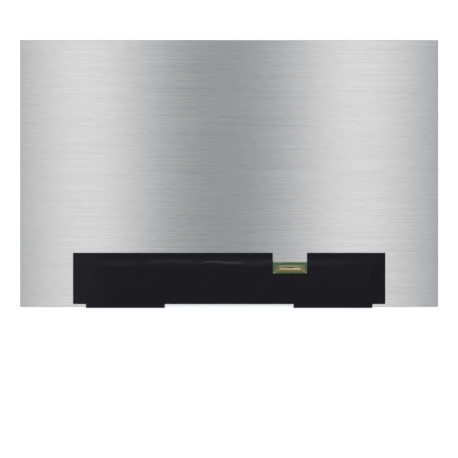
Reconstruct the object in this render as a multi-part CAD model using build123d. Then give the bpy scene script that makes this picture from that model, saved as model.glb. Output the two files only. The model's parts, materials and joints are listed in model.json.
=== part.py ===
from build123d import *
import os

# Laptop screen panel that lies on its display face, with its back up.
# Millimetres. Seen from behind, +X is to the right and +Y is up. +Z points out of the back.
# The origin is the middle of the outline, on the display face.

# Outline of the screen
ACTIVE_WIDTH = 301.6
ACTIVE_HEIGHT = 188.5
SIDE_BORDER = 2.7
TOP_BORDER = 2.7
BOTTOM_BORDER = 4.8

# Thickness of each layer, from the display face to the back
FRONT_POLARISER = 0.15
COLOUR_GLASS = 0.30
ARRAY_GLASS = 0.30
REAR_POLARISER = 0.13
RIM_TAPE = 0.07
UPPER_PRISM = 0.16
LOWER_PRISM = 0.14
DIFFUSER = 0.12
LIGHT_GUIDE = 0.50
REFLECTOR = 0.12
PLATE = 0.30

# Screen cell
GLASS_SETBACK = 0.35
LEDGE_SETBACK = 0.70
LEDGE_DEPTH = 1.90
POLARISER_SETBACK = 0.30

# Rim tape, light guide, sheets and their ears
TAPE_MARGIN = 0.30
LIGHT_GUIDE_MARGIN = 0.80
LIGHT_GUIDE_FOOT = 0.40
EAR_WIDTH = 8.0
EAR_DEPTH = 0.70
EAR_SPACING = 110.0
EAR_CLEARANCE = 0.15

# Lamps on their flexible strip
LAMP_LENGTH = 3.0
LAMP_DEPTH = 0.70
LAMP_HEIGHT = 0.42
LAMP_PITCH = 7.5
LAMP_WINDOW_RIM = 0.20
LAMP_WINDOW_DEPTH = 0.12
LAMP_GAP = 0.05
STRIP_FLEX = 0.10
STRIP_LAP = 1.4
STRIP_MARGIN = 0.50
STRIP_END = 2.0
TAIL_X = -14.0
TAIL_WIDTH = 12.0
TAIL_RUN = 1.7
TAIL_SLOT_CLEARANCE = 0.30

# Mould frame
FRAME_CLEARANCE = 0.10
LIGHT_GUIDE_CLEARANCE = 0.15
STRIP_CLEARANCE = 0.10

# Folded rear plate
FOLD_RADIUS = 0.20
FLANGE_HEIGHT = 1.30
CORNER_RELIEF = 0.80
CUT_BACK = 2.0
CUT_CLEARANCE = 0.30
SLOT_RADIUS = 0.50

# Circuit board
BOARD_WIDTH = 216.0
BOARD_HEIGHT = 24.2
BOARD = 0.45
BOARD_SETBACK = 6.5
BOARD_CORNER = 1.0
BOARD_TAPE = 0.05
BOARD_TAPE_MARGIN = 1.5

# Driver films that turn round the bottom edge
DRIVER_FILM = 0.08
DRIVER_FILM_WIDTH = 54.8
DRIVER_FILM_INSET = 4.4
DRIVER_BULGE = 0.90
BOND_LENGTH = 2.0
BOND_GAP = 0.20
BOARD_RAMP = 1.5
DRIVER_CHIP_LENGTH = 30.0
DRIVER_CHIP_WIDTH = 1.0
DRIVER_CHIP = 0.22
DRIVER_CHIP_GAP = 0.20

# Cover film
COVER_FILM = 0.08
COVER_TOP_LAP = 7.0
COVER_SIDE_LAP = 6.65
COVER_TOP_RAMP = 1.9
COVER_SIDE_RAMP = 2.5
COVER_BOTTOM_BRIM = 0.40
COVER_INNER_RAMP = 3.0
COVER_SIDE_SHELF = 4.0
COVER_BOTTOM_SHELF = 3.5
TAB_MARGIN = 1.5
TAB_FRONT_RUN = 1.2
NOTCH_SIDE_CLEARANCE = 1.5
NOTCH_FRONT_CLEARANCE = 1.1
NOTCH_VALLEY = 6.0

# Parts on the circuit board
TALLEST_PART = 0.60
CHIP_HEIGHT = 0.55
CHIP_CHAMFER = 0.08
CHIP_MARK = 0.50
CONTROLLER_SIZE = 9.0
CONTROLLER_X = -6.0
POWER_CHIP_SIZE = 6.0
POWER_CHIP_INSET = 58.0
LAMP_DRIVER_SIZE = 4.0
LAMP_DRIVER_INSET = 24.0
MEMORY_SIZE = 3.0
MEMORY_X = 10.0
INDUCTOR_LENGTH = 3.2
INDUCTOR_WIDTH = 2.5
INDUCTOR_CORNER = 0.5
INDUCTOR_GAP = 3.5
DIODE_LENGTH = 2.0
DIODE_WIDTH = 1.25
DIODE_HEIGHT = 0.50
DIODE_GAP = 2.5
CAPACITOR_LENGTH = 1.0
CAPACITOR_WIDTH = 0.50
CAPACITOR_HEIGHT = 0.50
RESISTOR_LENGTH = 1.0
RESISTOR_WIDTH = 0.50
RESISTOR_HEIGHT = 0.35
TERMINAL_LENGTH = 0.25
TERMINAL_STEP = 0.03
ROW_PITCH = 8.0
ROW_INSET = 5.0
ROW_END_INSET = 12.0

# Socket: lands and contacts. Depths run from the contact tips towards the mouth
SOCKET_X = 44.6
SOCKET_SETBACK = 2.4
CONTACT_COUNT = 30
CONTACT_PITCH = 0.50
CONTACT_WIDTH = 0.26
CONTACT_WAIST = 0.16
CONTACT = 0.10
CONTACT_FOOT = 0.56
CONTACT_RISE = 0.40
CONTACT_LEAD = 0.21
BEAM_HEIGHT = 0.35
LAND = 0.03
LAND_MARGIN = 0.03
LAND_OVERRUN = 0.15

# Socket: insulator
HOUSING_LIFT = 0.05
HOUSING_SHOULDER = 0.34
HOUSING_BAR = 0.83
MOUTH_MARGIN = 0.50
FLOOR_SETBACK = 0.23
CONTACT_SETBACK = 0.05
CHEEK_DEPTH = 1.90
CHEEK_SHOULDER_HEIGHT = 0.58
CHEEK_OVERHANG = 0.30

# Socket: stamped shell
SHELL = 0.12
SHELL_BEND = 0.08
SHELL_HEIGHT = 1.00
SHELL_FLAT = 0.73
RIDGE_STEP = 0.10
RIDGE_RAMP = 0.08
RIDGE_LENGTH = 0.40
LIP_RAMP = 0.10
LIP_LENGTH = 0.31
LIP_DROP = 0.18
RECESS_WIDTH = 4.94
RECESS_DEPTH = 0.32
NICK_WIDTH = 0.30
NICK_DEPTH = 0.22
NICK_X = 5.0
NICK_SPACING = 1.32
SPRING_WIDTH = 1.20
SPRING_DEPTH = 0.16
SPRING_X = 3.76
SPRING_SPACING = 2.50
LIP_END_GAP = 0.33
LOWER_LIP_GAP = 0.05
LOWER_LIP_REACH = 1.12
LOWER_LIP_LIFT = 0.06
ARM_WIDTH = 2.31
ARM_LEAD = 0.37
ARM_TAB_REACH = 0.26
ARM_TAB_WIDTH = 0.68
ARM_TAB_INSET = 0.42
ARM_CHAMFER_WIDTH = 0.67
ARM_CHAMFER_DEPTH = 0.55
ARM_WALL_START = 0.45
WINDOW_WIDTH = 0.69
WINDOW_LENGTH = 1.09
WINDOW_INSET = 0.51
WINDOW_SETBACK = 0.55
WINDOW_RADIUS = 0.15
TONGUE_WIDTH = 0.36
TONGUE_LENGTH = 0.26
SLIT = 0.09
SKIRT_SLIT_SETBACK = 0.88
SKIRT_SLIT_LENGTH = 0.32
LEG_SLIT_LENGTH = 0.69
LANCE_WIDTH = 0.45
LANCE_LENGTH = 0.55
LANCE_INSET = 0.40
LANCE_SETBACK = 0.20
LANCE_LIMB = 0.12
LEG_REACH = 0.95
LEG_HOLE_RADIUS = 0.20
GROUND_TAIL_WIDTH = 0.56
GROUND_TAIL_INSET = 0.10

# Levels worked out from the layers
COLOUR_GLASS_Z = FRONT_POLARISER
ARRAY_GLASS_Z = COLOUR_GLASS_Z + COLOUR_GLASS
REAR_POLARISER_Z = ARRAY_GLASS_Z + ARRAY_GLASS
RIM_TAPE_Z = REAR_POLARISER_Z + REAR_POLARISER
UPPER_PRISM_Z = RIM_TAPE_Z + RIM_TAPE
LOWER_PRISM_Z = UPPER_PRISM_Z + UPPER_PRISM
DIFFUSER_Z = LOWER_PRISM_Z + LOWER_PRISM
LIGHT_GUIDE_Z = DIFFUSER_Z + DIFFUSER
REFLECTOR_Z = LIGHT_GUIDE_Z + LIGHT_GUIDE
PLATE_Z = REFLECTOR_Z + REFLECTOR
REAR_Z = PLATE_Z + PLATE
BOARD_Z = REAR_Z + BOARD_TAPE
BOARD_TOP_Z = BOARD_Z + BOARD
FLEX_TOP_Z = BOARD_TOP_Z + max(DRIVER_FILM, STRIP_FLEX)
PARTS_TOP_Z = BOARD_TOP_Z + TALLEST_PART

# Outline edges
HALF_WIDTH = ACTIVE_WIDTH / 2 + SIDE_BORDER
TOP_EDGE = (ACTIVE_HEIGHT + TOP_BORDER + BOTTOM_BORDER) / 2
BOTTOM_EDGE = -TOP_EDGE
ACTIVE_TOP = TOP_EDGE - TOP_BORDER
ACTIVE_BOTTOM = BOTTOM_EDGE + BOTTOM_BORDER
CUT_EDGE = BOTTOM_EDGE + CUT_BACK
LEDGE_EDGE = BOTTOM_EDGE + LEDGE_SETBACK
LEDGE_TOP = LEDGE_EDGE + LEDGE_DEPTH

# Light guide and lamp strip edges
GUIDE_HALF = ACTIVE_WIDTH / 2 + LIGHT_GUIDE_MARGIN
GUIDE_TOP = ACTIVE_TOP + LIGHT_GUIDE_MARGIN
GUIDE_BOTTOM = ACTIVE_BOTTOM - LIGHT_GUIDE_FOOT
LAMP_FACE = GUIDE_BOTTOM - LAMP_GAP
STRIP_TOP = GUIDE_BOTTOM + STRIP_LAP
STRIP_BOTTOM = LAMP_FACE - LAMP_DEPTH - STRIP_MARGIN
TAIL_ROOT = LAMP_FACE - LAMP_DEPTH / 2

# Board edges
BOARD_HALF = BOARD_WIDTH / 2
BOARD_BOTTOM = CUT_EDGE + BOARD_SETBACK
BOARD_TOP = BOARD_BOTTOM + BOARD_HEIGHT
BOARD_MIDDLE = (BOARD_TOP + BOARD_BOTTOM) / 2
POWER_CHIP_X = POWER_CHIP_INSET - BOARD_HALF
LAMP_DRIVER_X = BOARD_HALF - LAMP_DRIVER_INSET
DRIVER_FILM_X = BOARD_HALF - DRIVER_FILM_INSET - DRIVER_FILM_WIDTH / 2

# Turn of the films round the bottom edge
TURN_RADIUS = (REAR_Z - ARRAY_GLASS_Z) / 2
TURN_Z = (REAR_Z + ARRAY_GLASS_Z) / 2
TAB_RADIUS = TURN_RADIUS + DRIVER_FILM
TURN_Y = BOTTOM_EDGE - DRIVER_BULGE + TAB_RADIUS + COVER_FILM
TAB_WIDTH = DRIVER_FILM_WIDTH + 2 * TAB_MARGIN
CUT_HALF = DRIVER_FILM_X + TAB_WIDTH / 2 + CUT_CLEARANCE

# Socket places, with depths from the contact tips towards the mouth
SOCKET_Y = BOARD_TOP - SOCKET_SETBACK
MOUTH_HALF = (CONTACT_COUNT - 1) * CONTACT_PITCH / 2 + MOUTH_MARGIN
ARM_OUTER = MOUTH_HALF + ARM_WIDTH
SOCKET_HALF = ARM_OUTER + LEG_REACH
HOUSING_REAR = CONTACT_FOOT + CONTACT_RISE + CONTACT_LEAD
HOUSING_FRONT = HOUSING_REAR + HOUSING_BAR
SHELL_REAR = HOUSING_REAR + HOUSING_SHOULDER
RIDGE_START = SHELL_REAR + SHELL_FLAT
RIDGE_REAR = RIDGE_START + RIDGE_RAMP
RIDGE_FRONT = RIDGE_REAR + RIDGE_LENGTH
LIP_REAR = RIDGE_FRONT + LIP_RAMP
LIP_FRONT = LIP_REAR + LIP_LENGTH
FLOOR_FRONT = LIP_FRONT - FLOOR_SETBACK
LOWER_LIP_REAR = FLOOR_FRONT + LOWER_LIP_GAP
LOWER_LIP_FRONT = LIP_FRONT + LOWER_LIP_REACH
ARM_REAR = HOUSING_REAR - ARM_LEAD
ARM_FRONT = LOWER_LIP_FRONT
ARM_TAB_FRONT = ARM_FRONT + ARM_TAB_REACH
ARM_WALL_REAR = LOWER_LIP_REAR + ARM_WALL_START
CHEEK_FRONT = ARM_REAR + CHEEK_DEPTH
LEG_REAR = CHEEK_FRONT + SLIT
SHELL_UNDER = SHELL_HEIGHT - SHELL
BEND_ROOT = ARM_OUTER - SHELL - SHELL_BEND

# Cover film edges, as left, right, bottom and top
COVER_EDGE = (
    -BOARD_HALF - COVER_SIDE_LAP,
    BOARD_HALF + COVER_SIDE_LAP,
    CUT_EDGE,
    BOARD_TOP + COVER_TOP_LAP,
)
COVER_FOOT = (
    -BOARD_HALF - COVER_SIDE_RAMP,
    BOARD_HALF + COVER_SIDE_RAMP,
    CUT_EDGE + COVER_BOTTOM_BRIM,
    BOARD_TOP + COVER_TOP_RAMP,
)
BOARD_EDGE = (-BOARD_HALF, BOARD_HALF, BOARD_BOTTOM, BOARD_TOP)
NOTCH_LEFT = SOCKET_X - SOCKET_HALF - NOTCH_SIDE_CLEARANCE
NOTCH_RIGHT = SOCKET_X + SOCKET_HALF + NOTCH_SIDE_CLEARANCE
NOTCH_BOTTOM = SOCKET_Y - ARM_TAB_FRONT - NOTCH_FRONT_CLEARANCE


def slab(edges, z_low, z_high):
    """Flat plate between two heights, with its edges as left, right, bottom and top."""
    left, right, bottom, top = edges
    middle = Pos((left + right) / 2, (bottom + top) / 2, (z_low + z_high) / 2)
    return middle * Box(right - left, top - bottom, z_high - z_low)


def grown(edges, margin):
    """Edges moved outwards by a margin on all four sides."""
    left, right, bottom, top = edges
    return (left - margin, right + margin, bottom - margin, top + margin)


def ramped_block(lower_edges, z_low, upper_edges, z_high):
    """Loft from a rectangle up to another one."""
    sections = []
    for edges, level in ((lower_edges, z_low), (upper_edges, z_high)):
        left, right, bottom, top = edges
        middle = Pos((left + right) / 2, (bottom + top) / 2, level)
        sections.append(middle * Rectangle(right - left, top - bottom))
    return loft(sections, ruled=True)


def ribbon(points, thickness):
    """Section of a strip whose lower line runs through (y, z) points."""
    lower = list(points)
    upper = [(y, z + thickness) for y, z in reversed(lower)]
    return make_face(Polyline(*lower, *upper, close=True))


def across(section, x_low, x_high):
    """Solid made by carrying a (y, z) section from one x to another."""
    return extrude(Plane.YZ.offset(x_low) * section, amount=x_high - x_low)


def bent_strip(points, thickness, bend_radius):
    """Section of a strip of even thickness whose middle line turns at each inner point in an arc."""
    return trace(FilletPolyline(*points, radius=bend_radius + thickness / 2), thickness)


def along_depth(section, start, end):
    """Solid made by carrying an (x, z) section from one depth to another, towards -Y."""
    return extrude(Plane.XZ.offset(start) * section, amount=end - start)


def half_turn(radius, thickness, rear_y, front_y):
    """(y, z) section of a strip that turns round the bottom edge, with a run at each end."""
    outer = radius + thickness
    ring = Pos(TURN_Y, TURN_Z) * (Circle(outer) - Circle(radius))
    turn = ring & Pos(TURN_Y - outer / 2, TURN_Z) * Rectangle(outer, 2 * outer)
    middle = radius + thickness / 2
    rear_run = Pos((TURN_Y + rear_y) / 2, TURN_Z + middle) * Rectangle(rear_y - TURN_Y, thickness)
    front_run = Pos((TURN_Y + front_y) / 2, TURN_Z - middle) * Rectangle(front_y - TURN_Y, thickness)
    return turn + rear_run + front_run


def both_sides(right_piece):
    """A right-hand piece and its mirror image as one solid."""
    return right_piece + mirror(right_piece, about=Plane.YZ)


def separate(pieces):
    """Separate solids kept in one group."""
    return Compound(children=list(pieces))


# Screen cell
def glass_edges(bottom):
    """Edges of a sheet of glass that ends at a given bottom."""
    side = HALF_WIDTH - GLASS_SETBACK
    return (-side, side, bottom, TOP_EDGE - GLASS_SETBACK)


def front_polariser():
    return slab(grown(glass_edges(LEDGE_TOP), -POLARISER_SETBACK), 0, COLOUR_GLASS_Z)


def colour_filter_glass():
    return slab(glass_edges(LEDGE_TOP), COLOUR_GLASS_Z, ARRAY_GLASS_Z)


def array_glass():
    return slab(glass_edges(LEDGE_EDGE), ARRAY_GLASS_Z, REAR_POLARISER_Z)


def rear_polariser_edges():
    """Edges of the rear polariser, which the rim tape shares."""
    return grown(glass_edges(LEDGE_EDGE), -POLARISER_SETBACK)


def rear_polariser():
    return slab(rear_polariser_edges(), REAR_POLARISER_Z, RIM_TAPE_Z)


# Backlight
def rim_tape():
    half = ACTIVE_WIDTH / 2 + TAPE_MARGIN
    opening = (-half, half, ACTIVE_BOTTOM - TAPE_MARGIN, ACTIVE_TOP + TAPE_MARGIN)
    ring = slab(rear_polariser_edges(), RIM_TAPE_Z, UPPER_PRISM_Z)
    return ring - slab(opening, RIM_TAPE_Z, UPPER_PRISM_Z)


def ear_edges(clearance):
    """Edges of the locating ears on the top and sides of the sheets."""
    half = EAR_WIDTH / 2 + clearance
    reach = EAR_DEPTH + clearance
    ears = []
    for x in (-EAR_SPACING, 0, EAR_SPACING):
        ears.append((x - half, x + half, GUIDE_TOP, GUIDE_TOP + reach))
    ears.append((-GUIDE_HALF - reach, -GUIDE_HALF, -half, half))
    ears.append((GUIDE_HALF, GUIDE_HALF + reach, -half, half))
    return ears


def guide_edges():
    """Edges of the light guide and of the sheets stacked on it."""
    return (-GUIDE_HALF, GUIDE_HALF, GUIDE_BOTTOM, GUIDE_TOP)


def optical_sheet(z_low, thickness):
    """Sheet of the light guide's size with ears that locate it in the frame."""
    sheet = slab(guide_edges(), z_low, z_low + thickness)
    for ear in ear_edges(0):
        sheet += slab(ear, z_low, z_low + thickness)
    return sheet


def light_guide():
    return slab(guide_edges(), LIGHT_GUIDE_Z, REFLECTOR_Z)


def reflector_sheet():
    edges = (-GUIDE_HALF, GUIDE_HALF, STRIP_TOP + LAMP_GAP, GUIDE_TOP)
    return slab(edges, REFLECTOR_Z, PLATE_Z)


def led_packages():
    """Row of side-firing lamps that hang from the strip and face the light guide's edge."""
    body = Box(LAMP_LENGTH, LAMP_DEPTH, LAMP_HEIGHT)
    window = Box(LAMP_LENGTH - 2 * LAMP_WINDOW_RIM, LAMP_WINDOW_DEPTH, LAMP_HEIGHT - LAMP_WINDOW_RIM)
    lamp = body - Pos(0, (LAMP_DEPTH - LAMP_WINDOW_DEPTH) / 2) * window
    count = int(ACTIVE_WIDTH // LAMP_PITCH)
    row = Pos(0, LAMP_FACE - LAMP_DEPTH / 2, REFLECTOR_Z - LAMP_HEIGHT / 2)
    return separate(row * place * lamp for place in GridLocations(LAMP_PITCH, LAMP_PITCH, count, 1))


def led_strip():
    """Flexible strip over the lamps, with a tail that rises through the plate to the board."""
    half = GUIDE_HALF - STRIP_END
    strip = slab((-half, half, STRIP_BOTTOM, STRIP_TOP), REFLECTOR_Z, REFLECTOR_Z + STRIP_FLEX)
    tail_line = [
        (TAIL_ROOT, REFLECTOR_Z),
        (TAIL_ROOT + TAIL_RUN, REAR_Z),
        (BOARD_BOTTOM - BOARD_RAMP, REAR_Z),
        (BOARD_BOTTOM, BOARD_TOP_Z),
        (BOARD_BOTTOM + BOND_LENGTH, BOARD_TOP_Z),
    ]
    tail = across(ribbon(tail_line, STRIP_FLEX), TAIL_X - TAIL_WIDTH / 2, TAIL_X + TAIL_WIDTH / 2)
    return strip + tail


def mould_frame():
    """Ring round the light guide, eased where the plate folds and pocketed for the ears."""
    inset = PLATE + FRAME_CLEARANCE
    outside = grown((-HALF_WIDTH, HALF_WIDTH, BOTTOM_EDGE, TOP_EDGE), -inset)
    body = slab(outside, UPPER_PRISM_Z, PLATE_Z)
    body = chamfer(body.faces().sort_by(Axis.Z)[-1].edges(), FOLD_RADIUS)
    guide = grown(guide_edges(), LIGHT_GUIDE_CLEARANCE)
    left, right, bottom, top = guide
    inside = (left, right, STRIP_BOTTOM - STRIP_CLEARANCE, top)
    ring = body - slab(inside, UPPER_PRISM_Z, PLATE_Z)
    for pocket in ear_edges(EAR_CLEARANCE):
        ring -= slab(pocket, UPPER_PRISM_Z, LIGHT_GUIDE_Z)
    return ring


def rear_plate():
    """Tray folded from one sheet: open corners, a cut-back bottom edge and a slot for the tail."""
    outline = (-HALF_WIDTH, HALF_WIDTH, BOTTOM_EDGE, TOP_EDGE)
    flange_z = REAR_Z - FLANGE_HEIGHT
    outer = slab(outline, flange_z, REAR_Z)
    outer = fillet(outer.faces().sort_by(Axis.Z)[-1].edges(), FOLD_RADIUS + PLATE)
    inner = slab(grown(outline, -PLATE), flange_z, PLATE_Z)
    inner = fillet(inner.faces().sort_by(Axis.Z)[-1].edges(), FOLD_RADIUS)
    tray = outer - inner
    for x in (-HALF_WIDTH, HALF_WIDTH):
        for y in (BOTTOM_EDGE, TOP_EDGE):
            tray -= slab(grown((x, x, y, y), CORNER_RELIEF), flange_z, PLATE_Z)
    tray -= slab((-CUT_HALF, CUT_HALF, BOTTOM_EDGE - CUT_BACK, CUT_EDGE), flange_z, REAR_Z)
    slot_width = TAIL_WIDTH + 2 * TAIL_SLOT_CLEARANCE
    slot_length = TAIL_RUN + 2 * TAIL_SLOT_CLEARANCE
    slot = Pos(TAIL_X, TAIL_ROOT + TAIL_RUN / 2, PLATE_Z)
    slot *= RectangleRounded(slot_width, slot_length, SLOT_RADIUS)
    return tray - extrude(slot, amount=PLATE)


# Circuit board and its parts
def board_tape():
    return slab(grown(BOARD_EDGE, -BOARD_TAPE_MARGIN), REAR_Z, BOARD_Z)


def circuit_board():
    outline = Pos(0, BOARD_MIDDLE, BOARD_Z) * RectangleRounded(BOARD_WIDTH, BOARD_HEIGHT, BOARD_CORNER)
    return extrude(outline, amount=BOARD)


def chip(size, x):
    """Square moulded package on the board, with a cut corner at its first terminal."""
    outline = Rectangle(size, size)
    first_corner = outline.vertices().sort_by_distance((-size / 2, size / 2))[0]
    body = extrude(chamfer(first_corner, CHIP_MARK), amount=CHIP_HEIGHT)
    body = chamfer(body.faces().sort_by(Axis.Z)[-1].edges(), CHIP_CHAMFER)
    return Pos(x, BOARD_MIDDLE, BOARD_TOP_Z) * body


def beside(x, size, side, gap, length):
    """Middle of a part that stands a gap away from a chip, on its left or right."""
    return x + side * (size / 2 + gap + length / 2)


def power_inductors():
    """Low wound blocks beside the power chip and the lamp driver."""
    outline = chamfer(Rectangle(INDUCTOR_LENGTH, INDUCTOR_WIDTH).vertices(), INDUCTOR_CORNER)
    block = Pos(0, BOARD_MIDDLE, BOARD_TOP_Z) * extrude(outline, amount=TALLEST_PART)
    places = [
        beside(POWER_CHIP_X, POWER_CHIP_SIZE, -1, INDUCTOR_GAP, INDUCTOR_LENGTH),
        beside(POWER_CHIP_X, POWER_CHIP_SIZE, 1, INDUCTOR_GAP, INDUCTOR_LENGTH),
        beside(LAMP_DRIVER_X, LAMP_DRIVER_SIZE, 1, INDUCTOR_GAP, INDUCTOR_LENGTH),
    ]
    return separate(Pos(x) * block for x in places)


def rectifier_diodes():
    """Small blocks beyond the power chip's left inductor and the lamp driver's inductor."""
    seat = Pos(0, BOARD_MIDDLE, BOARD_TOP_Z + DIODE_HEIGHT / 2)
    block = seat * Box(DIODE_LENGTH, DIODE_WIDTH, DIODE_HEIGHT)
    reach = INDUCTOR_GAP + INDUCTOR_LENGTH + DIODE_GAP
    places = [
        beside(POWER_CHIP_X, POWER_CHIP_SIZE, -1, reach, DIODE_LENGTH),
        beside(LAMP_DRIVER_X, LAMP_DRIVER_SIZE, 1, reach, DIODE_LENGTH),
    ]
    return separate(Pos(x) * block for x in places)


def terminated_block(length, width, height):
    """Chip part whose ends stand proud as terminals, resting on z = 0."""
    waist = Pos(0, 0, (height - TERMINAL_STEP) / 2)
    waist *= Box(length, width - 2 * TERMINAL_STEP, height - TERMINAL_STEP)
    end = Pos((length - TERMINAL_LENGTH) / 2, 0, height / 2) * Box(TERMINAL_LENGTH, width, height)
    return waist + both_sides(end)


def row_places(skip_notch):
    """Middles of a row of small parts along the board, clear of the notch if asked."""
    reach = BOARD_HALF - ROW_END_INSET
    count = int(2 * reach // ROW_PITCH) + 1
    places = [-reach + index * ROW_PITCH for index in range(count)]
    if skip_notch:
        low = NOTCH_LEFT - NOTCH_VALLEY - CAPACITOR_LENGTH
        high = NOTCH_RIGHT + NOTCH_VALLEY + CAPACITOR_LENGTH
        places = [x for x in places if not low < x < high]
    return places


def ceramic_capacitors():
    part = terminated_block(CAPACITOR_LENGTH, CAPACITOR_WIDTH, CAPACITOR_HEIGHT)
    row = Pos(0, BOARD_TOP - ROW_INSET, BOARD_TOP_Z)
    return separate(row * Pos(x) * part for x in row_places(True))


def chip_resistors():
    part = terminated_block(RESISTOR_LENGTH, RESISTOR_WIDTH, RESISTOR_HEIGHT)
    row = Pos(0, BOARD_BOTTOM + ROW_INSET, BOARD_TOP_Z)
    return separate(row * Pos(x) * part for x in row_places(False))


# Driver films
def driver_film(side):
    """Flexible film from the board, round the bottom edge and on to the glass ledge."""
    x = side * DRIVER_FILM_X
    rear_line = [
        (TURN_Y, REAR_Z),
        (BOARD_BOTTOM - BOARD_RAMP, REAR_Z),
        (BOARD_BOTTOM, BOARD_TOP_Z),
        (BOARD_BOTTOM + BOND_LENGTH, BOARD_TOP_Z),
    ]
    section = half_turn(TURN_RADIUS, DRIVER_FILM, CUT_EDGE, LEDGE_TOP - BOND_GAP)
    section += ribbon(rear_line, DRIVER_FILM)
    return across(section, x - DRIVER_FILM_WIDTH / 2, x + DRIVER_FILM_WIDTH / 2)


def driver_chip(side):
    """Bare die on the driver film, just below the board."""
    top = BOARD_BOTTOM - BOARD_RAMP - DRIVER_CHIP_GAP
    half = DRIVER_CHIP_LENGTH / 2
    x = side * DRIVER_FILM_X
    face = REAR_Z + DRIVER_FILM
    return slab((x - half, x + half, top - DRIVER_CHIP_WIDTH, top), face, face + DRIVER_CHIP)


# Cover film
def part_zones():
    """Edges of the raised zones over the parts: left and right of the notch, and below it."""
    left = -BOARD_HALF + COVER_SIDE_SHELF
    bottom = BOARD_BOTTOM + COVER_BOTTOM_SHELF
    top = BOARD_TOP - COVER_INNER_RAMP
    return [
        (left, NOTCH_LEFT - NOTCH_VALLEY, bottom, top),
        (NOTCH_RIGHT + NOTCH_VALLEY, -left, bottom, top),
        (left, -left, bottom, NOTCH_BOTTOM - NOTCH_VALLEY),
    ]


def cover_mound(lift):
    """Space that the cover film encloses over the board and its parts, raised by a lift."""
    mound = ramped_block(COVER_FOOT, REAR_Z + lift, BOARD_EDGE, FLEX_TOP_Z + lift)
    for zone in part_zones():
        foot = grown(zone, COVER_INNER_RAMP)
        mound += ramped_block(foot, FLEX_TOP_Z + lift, zone, PARTS_TOP_Z + lift)
    return mound


def cover_film():
    """Thin film draped over the board, notched at the socket, with two tabs round the bottom edge."""
    film = slab(COVER_EDGE, REAR_Z, REAR_Z + COVER_FILM) + cover_mound(COVER_FILM)
    film_under = REAR_Z + DRIVER_FILM
    film_over = film_under + COVER_FILM
    lanes = []
    for side in (-1, 1):
        x = side * DRIVER_FILM_X
        lanes.append((x - TAB_WIDTH / 2, x + TAB_WIDTH / 2, CUT_EDGE, BOARD_BOTTOM))
    for left, right, bottom, top in lanes:
        film += slab((left - COVER_FILM, right + COVER_FILM, bottom, top), REAR_Z, film_over)
    film -= cover_mound(0)
    for lane in lanes:
        film -= slab(lane, REAR_Z, film_under)
    _, _, _, cover_top = COVER_EDGE
    film -= slab((NOTCH_LEFT, NOTCH_RIGHT, NOTCH_BOTTOM, cover_top), REAR_Z, PARTS_TOP_Z + COVER_FILM)
    tab = half_turn(TAB_RADIUS, COVER_FILM, CUT_EDGE, TURN_Y + TAB_FRONT_RUN)
    for left, right, _, _ in lanes:
        film += across(tab, left, right)
    return film


# Socket, modelled about its contact tips on the board's face, with the mouth towards -Y
def contact_places():
    """Middles of the contacts along the socket."""
    first = -(CONTACT_COUNT - 1) * CONTACT_PITCH / 2
    return [first + index * CONTACT_PITCH for index in range(CONTACT_COUNT)]


def contact_section():
    """Side outline of one contact: a soldered foot, a rise and a beam in the mouth."""
    line = [
        (0, LAND),
        (-CONTACT_FOOT, LAND),
        (-CONTACT_FOOT - CONTACT_RISE, BEAM_HEIGHT),
        (-FLOOR_FRONT + CONTACT_SETBACK, BEAM_HEIGHT),
    ]
    return ribbon(line, CONTACT)


def contact_outline():
    """Plan of one contact, waisted between its foot and the insulator."""
    half = CONTACT_WIDTH / 2
    right_side = [
        (half, CONTACT_SETBACK - FLOOR_FRONT),
        (half, -HOUSING_REAR),
        (CONTACT_WAIST / 2, -(CONTACT_FOOT + HOUSING_REAR) / 2),
        (half, -CONTACT_FOOT),
        (half, 0),
    ]
    left_side = [(-x, y) for x, y in reversed(right_side)]
    return make_face(Polyline(*right_side, *left_side, close=True))


def connector_contacts():
    strip = across(contact_section(), -CONTACT_WIDTH / 2, CONTACT_WIDTH / 2)
    contact = strip & extrude(contact_outline(), amount=BEAM_HEIGHT + CONTACT)
    return separate(Pos(x) * contact for x in contact_places())


def ground_tail_edges():
    """Left and right edges of the right-hand ground tail."""
    inner = MOUTH_HALF + GROUND_TAIL_INSET
    return (inner, inner + GROUND_TAIL_WIDTH)


def solder_lands():
    """Tinned lands under the contacts, the ground tails and the hold-down legs."""
    half = CONTACT_WIDTH / 2 + LAND_MARGIN
    foot = (-CONTACT_FOOT - LAND_OVERRUN, LAND_OVERRUN)
    lands = [slab((x - half, x + half, *foot), 0, LAND) for x in contact_places()]
    left, right = ground_tail_edges()
    leg_left = ARM_OUTER - SHELL
    leg_right = SOCKET_HALF + LAND_MARGIN
    for side in (-1, 1):
        tail = sorted((side * (left - LAND_MARGIN), side * (right + LAND_MARGIN)))
        leg = sorted((side * leg_left, side * leg_right))
        lands.append(slab((*tail, *foot), 0, LAND))
        lands.append(slab((*leg, -LOWER_LIP_FRONT - LAND_OVERRUN, -LEG_REAR + LAND_OVERRUN), 0, LAND))
    return separate(lands)


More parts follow.
